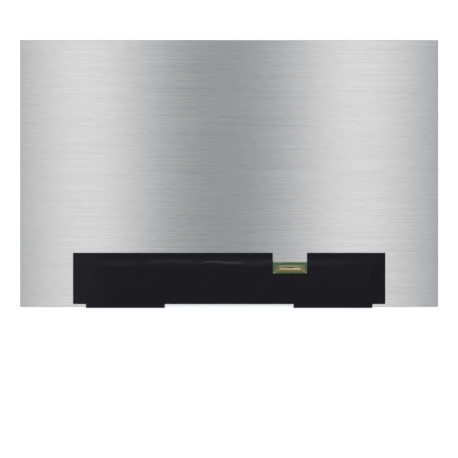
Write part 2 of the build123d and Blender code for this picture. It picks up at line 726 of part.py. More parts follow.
def connector_housing():
    """Insulator: a bar that holds the contacts, a floor in the mouth and a cheek at each end."""
    bar = slab((-MOUTH_HALF, MOUTH_HALF, -HOUSING_FRONT, -HOUSING_REAR), HOUSING_LIFT, SHELL_UNDER)
    floor = slab((-MOUTH_HALF, MOUTH_HALF, -FLOOR_FRONT, -HOUSING_FRONT), HOUSING_LIFT, BEAM_HEIGHT)
    _, tail_right = ground_tail_edges()
    block_rear = -ARM_REAR - ARM_CHAMFER_DEPTH
    inner = (MOUTH_HALF, ARM_OUTER - SHELL, -CHEEK_FRONT, block_rear)
    horn = (tail_right + GROUND_TAIL_INSET, ARM_OUTER - SHELL, block_rear, -ARM_REAR)
    shoulder = (MOUTH_HALF, ARM_OUTER + CHEEK_OVERHANG, -CHEEK_FRONT, block_rear)
    outer_horn = (tail_right + GROUND_TAIL_INSET, ARM_OUTER + CHEEK_OVERHANG, block_rear, -ARM_REAR)
    cheek = slab(inner, HOUSING_LIFT, SHELL_UNDER) + slab(horn, HOUSING_LIFT, SHELL_UNDER)
    outer_edges = cheek.edges().filter_by(Axis.Y).group_by(Axis.X)[-1]
    cheek = chamfer(outer_edges.group_by(Axis.Z)[-1], SHELL_BEND)
    cheek += slab(shoulder, HOUSING_LIFT, CHEEK_SHOULDER_HEIGHT)
    cheek += slab(outer_horn, HOUSING_LIFT, CHEEK_SHOULDER_HEIGHT)
    housing = bar + floor + both_sides(cheek)
    for x in contact_places():
        groove = (x - CONTACT_WIDTH / 2, x + CONTACT_WIDTH / 2, -HOUSING_FRONT, -HOUSING_REAR)
        housing -= slab(groove, BEAM_HEIGHT, BEAM_HEIGHT + CONTACT)
    return housing


def shell_roof():
    """Stamped roof of the socket: a flat, a raised ridge and a lip with four spring windows."""
    ridge_under = SHELL_UNDER + RIDGE_STEP
    lip_under = ridge_under - LIP_DROP
    line = [
        (-SHELL_REAR, SHELL_UNDER),
        (-RIDGE_START, SHELL_UNDER),
        (-RIDGE_REAR, ridge_under),
        (-RIDGE_FRONT, ridge_under),
        (-LIP_REAR, lip_under),
        (-LIP_FRONT, lip_under),
    ]
    roof = across(ribbon(line, SHELL), -MOUTH_HALF, MOUTH_HALF)
    roof_top = ridge_under + SHELL
    half = RECESS_WIDTH / 2
    roof -= slab((-half, half, -SHELL_REAR - RECESS_DEPTH, -SHELL_REAR), SHELL_UNDER, roof_top)
    nick = slab((0, NICK_WIDTH, -SHELL_REAR - NICK_DEPTH, -SHELL_REAR), SHELL_UNDER, roof_top)
    lip_middle = Pos(0, -(LIP_REAR + LIP_FRONT) / 2, lip_under)
    spring_window = lip_middle * extrude(SlotOverall(SPRING_WIDTH, SPRING_DEPTH), amount=SHELL)
    for side in (-1, 1):
        for step in (-1, 1):
            roof -= Pos(side * (NICK_X + step * NICK_SPACING / 2) - NICK_WIDTH / 2) * nick
            roof -= Pos(side * (SPRING_X + step * SPRING_SPACING / 2)) * spring_window
        gap = sorted((side * (MOUTH_HALF - LIP_END_GAP), side * MOUTH_HALF))
        roof -= slab((*gap, -LIP_FRONT, -RIDGE_START), lip_under, roof_top)
    return roof


def arm_outline():
    """Plan of the right-hand arm's flat with its tab, chamfer, window, lance and edge slits."""
    wall_side = MOUTH_HALF + SHELL
    tab_right = ARM_OUTER - ARM_TAB_INSET
    tab_left = tab_right - ARM_TAB_WIDTH
    outline = make_face(
        Polyline(
            (wall_side, -ARM_FRONT),
            (tab_left, -ARM_FRONT),
            (tab_left, -ARM_TAB_FRONT),
            (tab_right, -ARM_TAB_FRONT),
            (tab_right, -ARM_FRONT),
            (BEND_ROOT, -ARM_FRONT),
            (BEND_ROOT, -ARM_REAR),
            (MOUTH_HALF + ARM_CHAMFER_WIDTH, -ARM_REAR),
            (MOUTH_HALF, -ARM_REAR - ARM_CHAMFER_DEPTH),
            (MOUTH_HALF, -ARM_WALL_REAR),
            (wall_side, -ARM_WALL_REAR),
            close=True,
        )
    )
    window_x = MOUTH_HALF + WINDOW_INSET + WINDOW_WIDTH / 2
    window_y = -ARM_REAR - WINDOW_SETBACK - WINDOW_LENGTH / 2
    window = Pos(window_x, window_y) * RectangleRounded(WINDOW_WIDTH, WINDOW_LENGTH, WINDOW_RADIUS)
    tongue_y = window_y - (WINDOW_LENGTH - TONGUE_LENGTH) / 2
    window -= Pos(window_x, tongue_y) * Rectangle(TONGUE_WIDTH, TONGUE_LENGTH)
    lance_x = MOUTH_HALF + LANCE_INSET + LANCE_WIDTH / 2
    lance_y = -ARM_FRONT + LANCE_SETBACK + LANCE_LENGTH / 2
    lance = Pos(lance_x, lance_y) * Rectangle(LANCE_WIDTH, LANCE_LENGTH)
    limb = Rectangle(LANCE_WIDTH - 2 * LANCE_LIMB, LANCE_LENGTH - LANCE_LIMB)
    lance -= Pos(lance_x, lance_y - LANCE_LIMB / 2) * limb
    skirt_slit = Pos(ARM_OUTER - SKIRT_SLIT_LENGTH / 2, -ARM_REAR - SKIRT_SLIT_SETBACK)
    leg_slit = Pos(ARM_OUTER - LEG_SLIT_LENGTH / 2, -LEG_REAR + SLIT / 2)
    outline -= window
    outline -= lance
    outline -= skirt_slit * Rectangle(SKIRT_SLIT_LENGTH, SLIT)
    outline -= leg_slit * Rectangle(LEG_SLIT_LENGTH, SLIT)
    return outline


def shell_arm():
    """Right-hand arm: a flat top, a skirt over the cheek, a hold-down leg and a ground tail."""
    arm = Pos(0, 0, SHELL_UNDER) * extrude(arm_outline(), amount=SHELL)
    flat = SHELL_HEIGHT - SHELL / 2
    side = ARM_OUTER - SHELL / 2
    foot = LAND + SHELL / 2
    fold_line = [(BEND_ROOT - SHELL, flat), (side, flat)]
    skirt = bent_strip([*fold_line, (side, CHEEK_SHOULDER_HEIGHT)], SHELL, SHELL_BEND)
    slit = ARM_REAR + SKIRT_SLIT_SETBACK
    arm += along_depth(skirt, ARM_REAR, slit - SLIT / 2)
    arm += along_depth(skirt, slit + SLIT / 2, CHEEK_FRONT)
    leg = bent_strip([*fold_line, (side, foot), (SOCKET_HALF, foot)], SHELL, SHELL_BEND)
    hole = Pos((ARM_OUTER + SOCKET_HALF) / 2, -(ARM_FRONT + LEG_REAR) / 2, LAND)
    hole *= extrude(Circle(LEG_HOLE_RADIUS), amount=SHELL)
    arm += along_depth(leg, LEG_REAR, ARM_FRONT) - hole
    wall_edges = (MOUTH_HALF, MOUTH_HALF + SHELL, -ARM_FRONT, -ARM_WALL_REAR)
    wall = slab(wall_edges, LOWER_LIP_LIFT, SHELL_HEIGHT)
    mouth_edges = wall.edges().filter_by(Axis.Y).group_by(Axis.X)[0]
    wall = fillet(mouth_edges.group_by(Axis.Z)[-1], SHELL_BEND)
    tail_line = [
        (0, LAND),
        (-CONTACT_FOOT, LAND),
        (-ARM_REAR - SHELL, SHELL_UNDER),
        (-ARM_REAR - ARM_CHAMFER_DEPTH, SHELL_UNDER),
    ]
    return arm + wall + across(ribbon(tail_line, SHELL), *ground_tail_edges())


def connector_shell():
    """One stamping: the roof, an arm at each end and the lower lip of the mouth."""
    reach = MOUTH_HALF + SHELL
    lip = slab((-reach, reach, -LOWER_LIP_FRONT, -LOWER_LIP_REAR), LOWER_LIP_LIFT, LOWER_LIP_LIFT + SHELL)
    return shell_roof() + both_sides(shell_arm()) + lip


def on_board(piece):
    """Socket piece moved to its place on the board."""
    return Pos(SOCKET_X, SOCKET_Y, BOARD_TOP_Z) * piece


def build():
    """Every piece of the panel under its own name."""
    return {
        "front_polariser": front_polariser(),
        "colour_filter_glass": colour_filter_glass(),
        "array_glass": array_glass(),
        "rear_polariser": rear_polariser(),
        "rim_tape": rim_tape(),
        "upper_prism_sheet": optical_sheet(UPPER_PRISM_Z, UPPER_PRISM),
        "lower_prism_sheet": optical_sheet(LOWER_PRISM_Z, LOWER_PRISM),
        "diffuser_sheet": optical_sheet(DIFFUSER_Z, DIFFUSER),
        "light_guide": light_guide(),
        "reflector_sheet": reflector_sheet(),
        "led_strip": led_strip(),
        "led_packages": led_packages(),
        "mould_frame": mould_frame(),
        "rear_plate": rear_plate(),
        "board_tape": board_tape(),
        "circuit_board": circuit_board(),
        "timing_controller": chip(CONTROLLER_SIZE, CONTROLLER_X),
        "power_chip": chip(POWER_CHIP_SIZE, POWER_CHIP_X),
        "backlight_driver": chip(LAMP_DRIVER_SIZE, LAMP_DRIVER_X),
        "memory_chip": chip(MEMORY_SIZE, MEMORY_X),
        "power_inductors": power_inductors(),
        "rectifier_diodes": rectifier_diodes(),
        "ceramic_capacitors": ceramic_capacitors(),
        "chip_resistors": chip_resistors(),
        "solder_lands": on_board(solder_lands()),
        "connector_housing": on_board(connector_housing()),
        "connector_shell": on_board(connector_shell()),
        "connector_contacts": on_board(connector_contacts()),
        "driver_film_left": driver_film(-1),
        "driver_film_right": driver_film(1),
        "driver_chip_left": driver_chip(-1),
        "driver_chip_right": driver_chip(1),
        "cover_film": cover_film(),
    }


os.makedirs("parts", exist_ok=True)
for name, piece in build().items():
    export_step(piece, f"parts/{name}.step")
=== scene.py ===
"""Looks of a laptop screen panel that lies on its display face, seen from behind.

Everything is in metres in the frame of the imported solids: +X to the right and +Y up as seen from
behind, +Z out of the back, and the origin on the display face. Places on the board's face are given
in millimetres from the socket: u to the right of its middle, v from its contact tips to its mouth.
"""
import json
import logging
import math
from dataclasses import astuple, dataclass, replace
from enum import Enum
from typing import Any

import bpy
import numpy as np
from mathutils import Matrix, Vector


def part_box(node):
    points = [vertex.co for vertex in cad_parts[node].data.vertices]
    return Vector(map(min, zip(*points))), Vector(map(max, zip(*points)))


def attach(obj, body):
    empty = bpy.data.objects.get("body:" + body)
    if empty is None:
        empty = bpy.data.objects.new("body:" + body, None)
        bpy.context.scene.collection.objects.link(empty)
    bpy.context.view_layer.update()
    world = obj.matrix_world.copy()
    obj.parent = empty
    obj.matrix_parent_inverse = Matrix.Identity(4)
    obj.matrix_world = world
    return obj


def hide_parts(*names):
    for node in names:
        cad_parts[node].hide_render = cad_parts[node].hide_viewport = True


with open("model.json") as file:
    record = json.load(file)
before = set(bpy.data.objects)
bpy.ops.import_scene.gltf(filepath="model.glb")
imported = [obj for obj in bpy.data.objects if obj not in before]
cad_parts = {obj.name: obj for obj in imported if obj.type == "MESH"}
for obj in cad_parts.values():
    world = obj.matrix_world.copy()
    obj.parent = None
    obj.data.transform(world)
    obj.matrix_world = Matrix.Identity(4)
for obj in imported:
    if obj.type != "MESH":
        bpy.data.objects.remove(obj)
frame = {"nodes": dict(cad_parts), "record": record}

LOG = logging.getLogger("screen_panel")
MM = 0.001
BODY = "root"
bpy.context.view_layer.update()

Colour = tuple[float, float, float, float]


class Slot(str, Enum):
    """Material slots of the record."""

    MATT_POLARISER = "matt_polariser"
    CLEAR_POLARISER = "clear_polariser"
    CELL_GLASS = "cell_glass"
    BLACK_TAPE = "black_tape"
    PRISM_SHEET = "prism_sheet"
    DIFFUSER_SHEET = "diffuser_sheet"
    CLEAR_ACRYLIC = "clear_acrylic"
    WHITE_REFLECTOR = "white_reflector"
    AMBER_FLEX = "amber_flex"
    WHITE_LAMP = "white_lamp"
    WHITE_FRAME = "white_frame"
    BRUSHED_PLATE = "brushed_plate"
    GREEN_BOARD = "green_board"
    BLACK_CHIP = "black_chip"
    FERRITE = "ferrite"
    TAN_CERAMIC = "tan_ceramic"
    DARK_CERAMIC = "dark_ceramic"
    TINNED_LAND = "tinned_land"
    GOLD_SHELL = "gold_shell"
    GOLD_CONTACT = "gold_contact"
    BLACK_INSULATOR = "black_insulator"
    SILICON_DIE = "silicon_die"
    BLACK_COVER_FILM = "black_cover_film"


def linear(red: float, green: float, blue: float) -> Colour:
    """Linear colour of a display colour.

    Args:
        red: Display red, from 0 to 255.
        green: Display green, from 0 to 255.
        blue: Display blue, from 0 to 255.

    Returns:
        The colour that a shader takes, with an alpha of 1.
    """
    share = np.array((red, green, blue)) / 255
    curve = np.where(share <= 0.04045, share / 12.92, ((share + 0.055) / 1.055) ** 2.4)
    return (*curve.tolist(), 1.0)


def smooth(share: np.ndarray) -> np.ndarray:
    """Smooth step: 3 s^2 - 2 s^3 of a share that is held between 0 and 1."""
    held = np.clip(share, 0, 1)
    return held * held * (3 - 2 * held)


# Shader maths
class Number:
    """Shader socket that carries a number. Its operators add Math nodes."""

    def __init__(self, graph: "Graph", socket: bpy.types.NodeSocket) -> None:
        """Wrap a socket of a graph."""
        self.graph = graph
        self.socket = socket

    def math(self, operation: str, *values: "Number | float") -> "Number":
        """Result of a Math node on some values.

        Args:
            operation: Blender's name for the operation.
            values: Numbers or sockets, in the node's order.

        Returns:
            The node's output.
        """
        node = self.graph.node("ShaderNodeMath", {"operation": operation}, dict(enumerate(values)))
        return Number(self.graph, node.outputs[0])

    def __add__(self, other: "Number | float") -> "Number":
        """Sum."""
        return self.math("ADD", self, other)

    def __radd__(self, other: float) -> "Number":
        """Sum with a plain number on the left."""
        return self.math("ADD", other, self)

    def __sub__(self, other: "Number | float") -> "Number":
        """Difference."""
        return self.math("SUBTRACT", self, other)

    def __rsub__(self, other: float) -> "Number":
        """Difference from a plain number."""
        return self.math("SUBTRACT", other, self)

    def __mul__(self, other: "Number | float") -> "Number":
        """Product."""
        return self.math("MULTIPLY", self, other)

    def __rmul__(self, other: float) -> "Number":
        """Product with a plain number on the left."""
        return self.math("MULTIPLY", other, self)

    def __abs__(self) -> "Number":
        """Size without its sign."""
        return self.math("ABSOLUTE", self)

    def sine(self) -> "Number":
        """Sine of an angle in radians."""
        return self.math("SINE", self)

    def larger(self, other: "Number | float") -> "Number":
        """Larger of two values."""
        return self.math("MAXIMUM", self, other)

    def step(self, low: float, high: float) -> "Number":
        """Smooth step from 0 at a low value to 1 at a high one.

        Args:
            low: Value where the step starts.
            high: Value where the step ends.

        Returns:
            The step, held between 0 and 1.
        """
        settings = {"interpolation_type": "SMOOTHSTEP"}
        node = self.graph.node("ShaderNodeMapRange", settings, {0: self, 1: low, 2: high})
        return Number(self.graph, node.outputs[0])


class Graph:
    """Nodes of one material, with short ways to add them."""

    MIX_FACTOR = 0
    MIX_LOW = 6
    MIX_HIGH = 7
    MIX_COLOUR = 2

    def __init__(self, tree: bpy.types.NodeTree) -> None:
        """Start with an empty tree."""
        self.tree = tree
        tree.nodes.clear()

    def node(self, kind: str, settings: dict[str, Any], sockets: dict[Any, Any]) -> bpy.types.Node:
        """Add a node.

        Args:
            kind: Blender's name for the node's type.
            settings: Properties of the node, which are set first.
            sockets: Value or link of each input, by its name or its place.

        Returns:
            The new node.
        """
        made = self.tree.nodes.new(kind)
        for name, value in settings.items():
            setattr(made, name, value)
        for key, value in sockets.items():
            source = value.socket if isinstance(value, Number) else value
            if isinstance(source, bpy.types.NodeSocket):
                self.tree.links.new(source, made.inputs[key])
            else:
                made.inputs[key].default_value = source
        return made

    def place(self) -> bpy.types.NodeSocket:
        """Object coordinates, in metres."""
        return self.node("ShaderNodeTexCoord", {}, {}).outputs["Object"]

    def axes(self) -> tuple[Number, Number, Number]:
        """Object coordinates as three numbers, in metres."""
        parts = self.node("ShaderNodeSeparateXYZ", {}, {0: self.place()})
        return tuple(Number(self, output) for output in parts.outputs)

    def noise(self, cells: tuple[float, float, float], detail: float = 2.0, shift: float = 0.0) -> Number:
        """Soft noise about a half.

        Args:
            cells: Cells per metre along each axis.
            detail: Number of finer octaves.
            shift: Move along each axis, in cells, so that two noises differ.

        Returns:
            The noise, mostly between 0.2 and 0.8.
        """
        sockets = {"Vector": self.place(), "Location": (shift, shift, shift), "Scale": cells}
        mapped = self.node("ShaderNodeMapping", {}, sockets)
        sockets = {"Vector": mapped.outputs[0], "Scale": 1.0, "Detail": detail}
        return Number(self, self.node("ShaderNodeTexNoise", {}, sockets).outputs[0])

    def attribute(self, name: str) -> Number:
        """Number that the piece's mesh holds under a name."""
        return Number(self, self.node("ShaderNodeAttribute", {"attribute_name": name}, {}).outputs["Fac"])

    def tint(self, colour: "Colour | bpy.types.NodeSocket", tone: Number) -> bpy.types.NodeSocket:
        """Colour times a number.

        Args:
            colour: Colour or colour socket.
            tone: The number.

        Returns:
            The product.
        """
        source = colour[:3] if isinstance(colour, tuple) else colour
        node = self.node("ShaderNodeVectorMath", {"operation": "SCALE"}, {0: source, "Scale": tone})
        return node.outputs[0]

    def blend(self, share: Number, low: Any, high: Any) -> bpy.types.NodeSocket:
        """Mix of two colours.

        Args:
            share: Share of the second colour.
            low: Colour or socket where the share is 0.
            high: Colour or socket where the share is 1.

        Returns:
            The mixed colour.
        """
        sockets = {self.MIX_FACTOR: share, self.MIX_LOW: low, self.MIX_HIGH: high}
        return self.node("ShaderNodeMix", {"data_type": "RGBA"}, sockets).outputs[self.MIX_COLOUR]

    def bump(self, height: Number, depth: float) -> bpy.types.NodeSocket:
        """Normal of a surface raised by a height between 0 and 1 times a depth in metres."""
        sockets = {"Strength": 1.0, "Distance": depth, "Height": height}
        return self.node("ShaderNodeBump", {}, sockets).outputs[0]

    def surface(self, sockets: dict[str, Any]) -> None:
        """Finish the tree with a shader that takes these values and links."""
        shader = self.node("ShaderNodeBsdfPrincipled", {}, sockets)
        self.node("ShaderNodeOutputMaterial", {}, {"Surface": shader.outputs[0]})


# Finishes
@dataclass(frozen=True)
class Finish:
    """Base of the finishes, each of which paints the nodes of a material."""

    def paint(self, graph: Graph) -> None:
        """Add the nodes of this finish."""
        raise NotImplementedError

    def material(self, name: str) -> bpy.types.Material:
        """New material with this finish.

        Args:
            name: Name of the material.

        Returns:
            The material.
        """
        made = bpy.data.materials.new(name)
        made.use_nodes = True
        self.paint(Graph(made.node_tree))
        return made


@dataclass(frozen=True)
class Moulded(Finish):
    """Plain plastic, tape, sheet or ceramic with a faint mottle and a fine grain."""

    colour: Colour
    roughness: float
    mottle: float = 0.10
    mottle_cells: float = 450.0
    grain_cells: float = 9000.0
    grain_depth: float = 3e-6
    specular: float = 0.5

    def paint(self, graph: Graph) -> None:
        """Colour varies with the mottle, roughness and normal with the grain.

        Args:
            graph: Nodes of the material.
        """
        mottle = graph.noise((self.mottle_cells,) * 3)
        grain = graph.noise((self.grain_cells,) * 3, shift=7.0)
        graph.surface({
            "Base Color": graph.tint(self.colour, 1 + self.mottle * (2 * mottle - 1)),
            "Roughness": self.roughness + 0.2 * (grain - 0.5),
            "Specular IOR Level": self.specular,
            "Normal": graph.bump(grain, self.grain_depth),
        })


@dataclass(frozen=True)
class BrushedMetal(Finish):
    """Sheet metal brushed along X: long thin streaks, and a shine that is spread along Y."""

    colour: Colour
    roughness: float
    anisotropy: float
    streak_tone: float
    streak_depth: float

    def paint(self, graph: Graph) -> None:
        """Long and short noise, stretched along X, set the tone, the roughness and the normal.

        Args:
            graph: Nodes of the material.
        """
        long = graph.noise((14.0, 2300.0, 60.0), 1.0, shift=3.0)
        short = graph.noise((130.0, 2600.0, 60.0), 1.0, shift=11.0)
        cloud = graph.noise((9.0, 14.0, 9.0), 2.0, shift=23.0)
        streaks = 0.56 * long + 0.44 * short - 0.5
        tone = 1 + self.streak_tone * streaks + 0.03 * (cloud - 0.5)
        tangent = graph.node("ShaderNodeTangent", {"direction_type": "RADIAL", "axis": "X"}, {})
        graph.surface({
            "Base Color": graph.tint(self.colour, tone),
            "Metallic": 1.0,
            "Roughness": self.roughness + 0.10 * streaks,
            "Anisotropic": self.anisotropy,
            "Tangent": tangent.outputs[0],
            "Normal": graph.bump(streaks, self.streak_depth),
        })


@dataclass(frozen=True)
class CreasedFilm(Finish):
    """Satin black film with painted highlights along its creases."""

    colour: Colour
    crease_highlight_colour: Colour
    roughness: float
    specular: float
    paler_end_inner: float
    paler_end_outer: float
    paler_end_tone: float

    def paint(self, graph: Graph) -> None:
        """The mesh's crease attribute paints highlights along the creases, over a soft mottle and a fine
        orange peel.

        One end is a little paler than the rest.

        Args:
            graph: Nodes of the material.
        """
        mottle = graph.noise((60.0, 110.0, 60.0), 3.0)
        peel = graph.noise((2600.0, 2600.0, 2600.0), 2.0, shift=5.0)
        # The crease attribute holds painted highlights along the creases.
        crease = graph.attribute("crease")
        across, _, _ = graph.axes()
        tone_shift = across.step(self.paler_end_inner, self.paler_end_outer)
        film = graph.tint(self.colour, 1 + 0.3 * (mottle - 0.5) + self.paler_end_tone * tone_shift)
        graph.surface({
            "Base Color": graph.blend(crease, film, self.crease_highlight_colour),
            "Roughness": self.roughness + 0.12 * (mottle - 0.5) + 0.10 * (peel - 0.5),
            "Specular IOR Level": self.specular,
            "Normal": graph.bump(peel, 4e-6),
        })


@dataclass(frozen=True)
class SolderResist(Finish):
    """Green resist over copper, with the weave of the board faintly showing."""

    colour: Colour
    thin_colour: Colour
    weave_pitch: float

    def paint(self, graph: Graph) -> None:
        """Two crossed waves make the weave, and a soft noise the resist's thickness.

        Args:
            graph: Nodes of the material.
        """
        across, along, _ = graph.axes()
        turn = 2 * math.pi / self.weave_pitch
        weave = 0.5 + 0.5 * (across * turn).sine() * (along * turn).sine()
        pool = graph.noise((220.0, 220.0, 220.0), 3.0)
        speck = graph.noise((5200.0, 5200.0, 5200.0), 2.0, shift=9.0)
        share = 0.65 * pool.step(0.35, 0.65) + 0.2 * weave
        graph.surface({
            "Base Color": graph.tint(graph.blend(share, self.colour, self.thin_colour), 0.9 + 0.2 * speck),
            "Roughness": 0.30 + 0.15 * (speck - 0.5),
            "Specular IOR Level": 0.3,
            "Normal": graph.bump(0.6 * weave + 0.4 * speck, 4e-6),
        })


@dataclass(frozen=True)
class Plated(Finish):
    """Plated metal with duller clouds and fine drawing marks along X."""

    colour: Colour
    dull_tone: float
    roughness: float
    cloud_cells: float = 900.0

    def bright(self, graph: Graph) -> "Colour | bpy.types.NodeSocket":
        """Colour before any cloud dulls it."""
        return self.colour

    def paint(self, graph: Graph) -> None:
        """Clouds dull the plating and roughen it, and drawing marks score it.

        Args:
            graph: Nodes of the material.
        """
        cloud = graph.noise((self.cloud_cells,) * 3, 3.0)
        marks = graph.noise((600.0, 9000.0, 9000.0), 2.0, shift=13.0)
        dull = cloud.step(0.42, 0.72)
        tone = (0.9 + 0.2 * marks) * (1 - (1 - self.dull_tone) * dull)
        graph.surface({
            "Base Color": graph.tint(self.bright(graph), tone),
            "Metallic": 1.0,
            "Roughness": self.roughness + 0.10 * dull + 0.12 * (marks - 0.5),
            "Normal": graph.bump(0.5 * marks + 0.5 * cloud, 3e-6),
        })


@dataclass(frozen=True)
class PressedShell(Plated):
    """Plated stamping with a paler bar across its middle, browner arms and a lip darkened by painted shade.
    The bar's paler colour is partly its plating and partly a painted highlight, and painted highlight lines
    run along its edges and folds. Metres.
    """

    arm_colour: Colour = (0.0, 0.0, 0.0, 1.0)
    shaded_lip_colour: Colour = (0.0, 0.0, 0.0, 1.0)
    middle: float = 0.0
    bar_half: float = 0.0
    rim_highlight_line: float = 0.0
    cuts: tuple[tuple[float, float, float], ...] = ()
    bend_highlights: tuple[tuple[float, float, float], ...] = ()
    fold_highlight_line: float = 0.0
    lip_line: float = 0.0
    spring_line: float = 0.0
    spring_place: float = 0.0
    spring_spacing: float = 0.0
    spring_half: tuple[float, float] = (0.0, 0.0)
    fade: float = 0.0

    def bright(self, graph: Graph) -> "Colour | bpy.types.NodeSocket":
        """Arms lie beyond the bar's half width, and the lip beyond a line across Y.

        The lip's darker colour is painted shade. Painted highlights run as paler lines along the bar's rim
        and fold and where the arms' tongues bend, a painted shadow line darkens the step to the lip, each
        spring gets painted shade with painted highlights at its ends, and fine scratches cross the lip.

        Args:
            graph: Nodes of the material.

        Returns:
            The metal's colour.
        """
        across, along, _ = graph.axes()
        aside = abs(across - self.middle)
        arm = aside.step(self.bar_half - self.fade, self.bar_half + self.fade)
        lip = along.step(self.lip_line + self.fade, self.lip_line - self.fade)
        upper = graph.blend(arm, self.colour, self.arm_colour)
        # The lip's darker colour is painted shade.
        metal = graph.blend(lip * (1 - arm), upper, self.shaded_lip_colour)
        # Painted highlights: paler lines along the bar's rim and fold.
        lines = self.rim(aside, along).larger(self.line(along, self.fold_highlight_line))
        # Painted shadow line at the step from the bar to the lip.
        lip_shadow = abs(along - self.lip_line).step(self.fade, 0.0)
        scratch = graph.noise((2600.0, 240.0, 240.0), 1.0, shift=5.0).step(0.62, 0.72)
        # Painted highlights and shade, with real scratches on the lip.
        tone_shift = 0.9 * lines - 0.75 * lip_shadow - 0.35 * scratch * lip + self.spring_shade_and_highlights(aside, along)
        tone = 1 + (1 - arm) * tone_shift
        # Painted highlights where the arms' tongues bend.
        for place, half, bend in self.bend_highlights:
            tone = tone + 1.6 * self.line(along, bend) * abs(aside - place).step(half + self.fade, half)
        return graph.tint(metal, tone.larger(0.15))

    def line(self, along: Number, place: float) -> Number:
        """Thin line across Y, full over half its width."""
        return abs(along - place).step(self.fade, self.fade / 2)

    def rim(self, aside: Number, along: Number) -> Number:
        """Painted highlight line along the bar's rear edge, which steps back at each cut.

        Args:
            aside: Distance from the socket's middle.
            along: Place along Y.

        Returns:
            The line, from 0 to 1.
        """
        rim = self.line(along, self.rim_highlight_line)
        for place, half, depth in self.cuts:
            inside = abs(aside - place).step(half + self.fade, half)
            rim = rim + inside * (self.line(along, self.rim_highlight_line - depth) - rim)
        return rim

    def spring_shade_and_highlights(self, aside: Number, along: Number) -> Number:
        """Painted shade over each spring, two on each side, with painted highlights at its ends.

        Args:
            aside: Distance from the socket's middle.
            along: Place along Y.

        Returns:
            The change, as a share of the tone.
        """
        width, depth = self.spring_half
        reach = abs(abs(aside - self.spring_place) - self.spring_spacing / 2)
        row = abs(along - self.spring_line).step(depth + self.fade / 2, depth - self.fade / 2)
        ends = abs(reach - width).step(self.fade, 0.0)
        inside = reach.step(width, width - self.fade)
        return row * (0.8 * ends - 0.5 * inside)


@dataclass(frozen=True)
class TinnedPlated(Plated):
    """Plating that is tinned beyond a line across Y."""

    tin_colour: Colour = (0.0, 0.0, 0.0, 1.0)
    tin_line: float = 0.0
    tin_fade: float = 0.0

    def bright(self, graph: Graph) -> "Colour | bpy.types.NodeSocket":
        """Plating below the line and tin above it.

        Args:
            graph: Nodes of the material.

        Returns:
            The metal's colour.
        """
        _, along, _ = graph.axes()
        tinned = along.step(self.tin_line - self.tin_fade, self.tin_line + self.tin_fade)
        return graph.blend(tinned, self.colour, self.tin_colour)


@dataclass(frozen=True)
class DarkScreen(Finish):
    """Anti-glare face of a screen that is switched off: a picture area inside a blacker border."""

    picture_colour: Colour
    border_colour: Colour
    half_width: float
    low_edge: float
    high_edge: float
    edge_fade: float

    def paint(self, graph: Graph) -> None:
        """The picture area is where both distances to its edges are inside.

        Args:
            graph: Nodes of the material.
        """
        across, along, _ = graph.axes()
        middle = (self.low_edge + self.high_edge) / 2
        half_height = (self.high_edge - self.low_edge) / 2
        beyond = (abs(across) - self.half_width).larger(abs(along - middle) - half_height)
        sparkle = graph.noise((14000.0, 14000.0, 14000.0), 1.0)
        mottle = graph.noise((40.0, 40.0, 40.0), 2.0, shift=4.0)
        border = beyond.step(-self.edge_fade, self.edge_fade)
        colour = graph.blend(border, self.picture_colour, self.border_colour)
        graph.surface({
            "Base Color": graph.tint(colour, 0.9 + 0.2 * mottle),
            "Roughness": 0.38 + 0.16 * (sparkle - 0.5),
            "Normal": graph.bump(sparkle, 2e-6),
        })


@dataclass(frozen=True)
class ConductorFilm(Finish):
    """Amber film with fine copper conductors that run along Y under its skin."""

    colour: Colour
    copper_colour: Colour
    pitch: float

    def paint(self, graph: Graph) -> None:
        """A wave across X marks the conductors, broken by a slow noise.

        Args:
            graph: Nodes of the material.
        """
        across, _, _ = graph.axes()
        lines = (0.5 + 0.5 * (across * (2 * math.pi / self.pitch)).sine()).step(0.35, 0.65)
        groups = graph.noise((140.0, 8.0, 8.0), 1.0).step(0.40, 0.46)
        grain = graph.noise((3000.0, 3000.0, 3000.0), 2.0, shift=6.0)
        graph.surface({
            "Base Color": graph.blend(0.7 * lines * groups, self.colour, self.copper_colour),
            "Roughness": 0.28 + 0.15 * (grain - 0.5),
            "Normal": graph.bump(0.7 * lines + 0.3 * grain, 3e-6),
        })


@dataclass(frozen=True)
class CutGlass(Finish):
    """Sheet glass seen at its edges: polished faces with a scribed, slightly shelly cut."""

    colour: Colour
    edge_colour: Colour

    def paint(self, graph: Graph) -> None:
        """Shell marks along the cut vary the colour, the roughness and the normal.

        Args:
            graph: Nodes of the material.
        """
        shell = graph.noise((900.0, 900.0, 3000.0), 3.0)
        scratch = graph.noise((80.0, 2200.0, 80.0), 2.0, shift=8.0)
        graph.surface({
            "Base Color": graph.blend(shell.step(0.40, 0.70), self.colour, self.edge_colour),
            "Roughness": 0.08 + 0.12 * shell + 0.05 * scratch,
            "Normal": graph.bump(shell, 4e-6),
        })


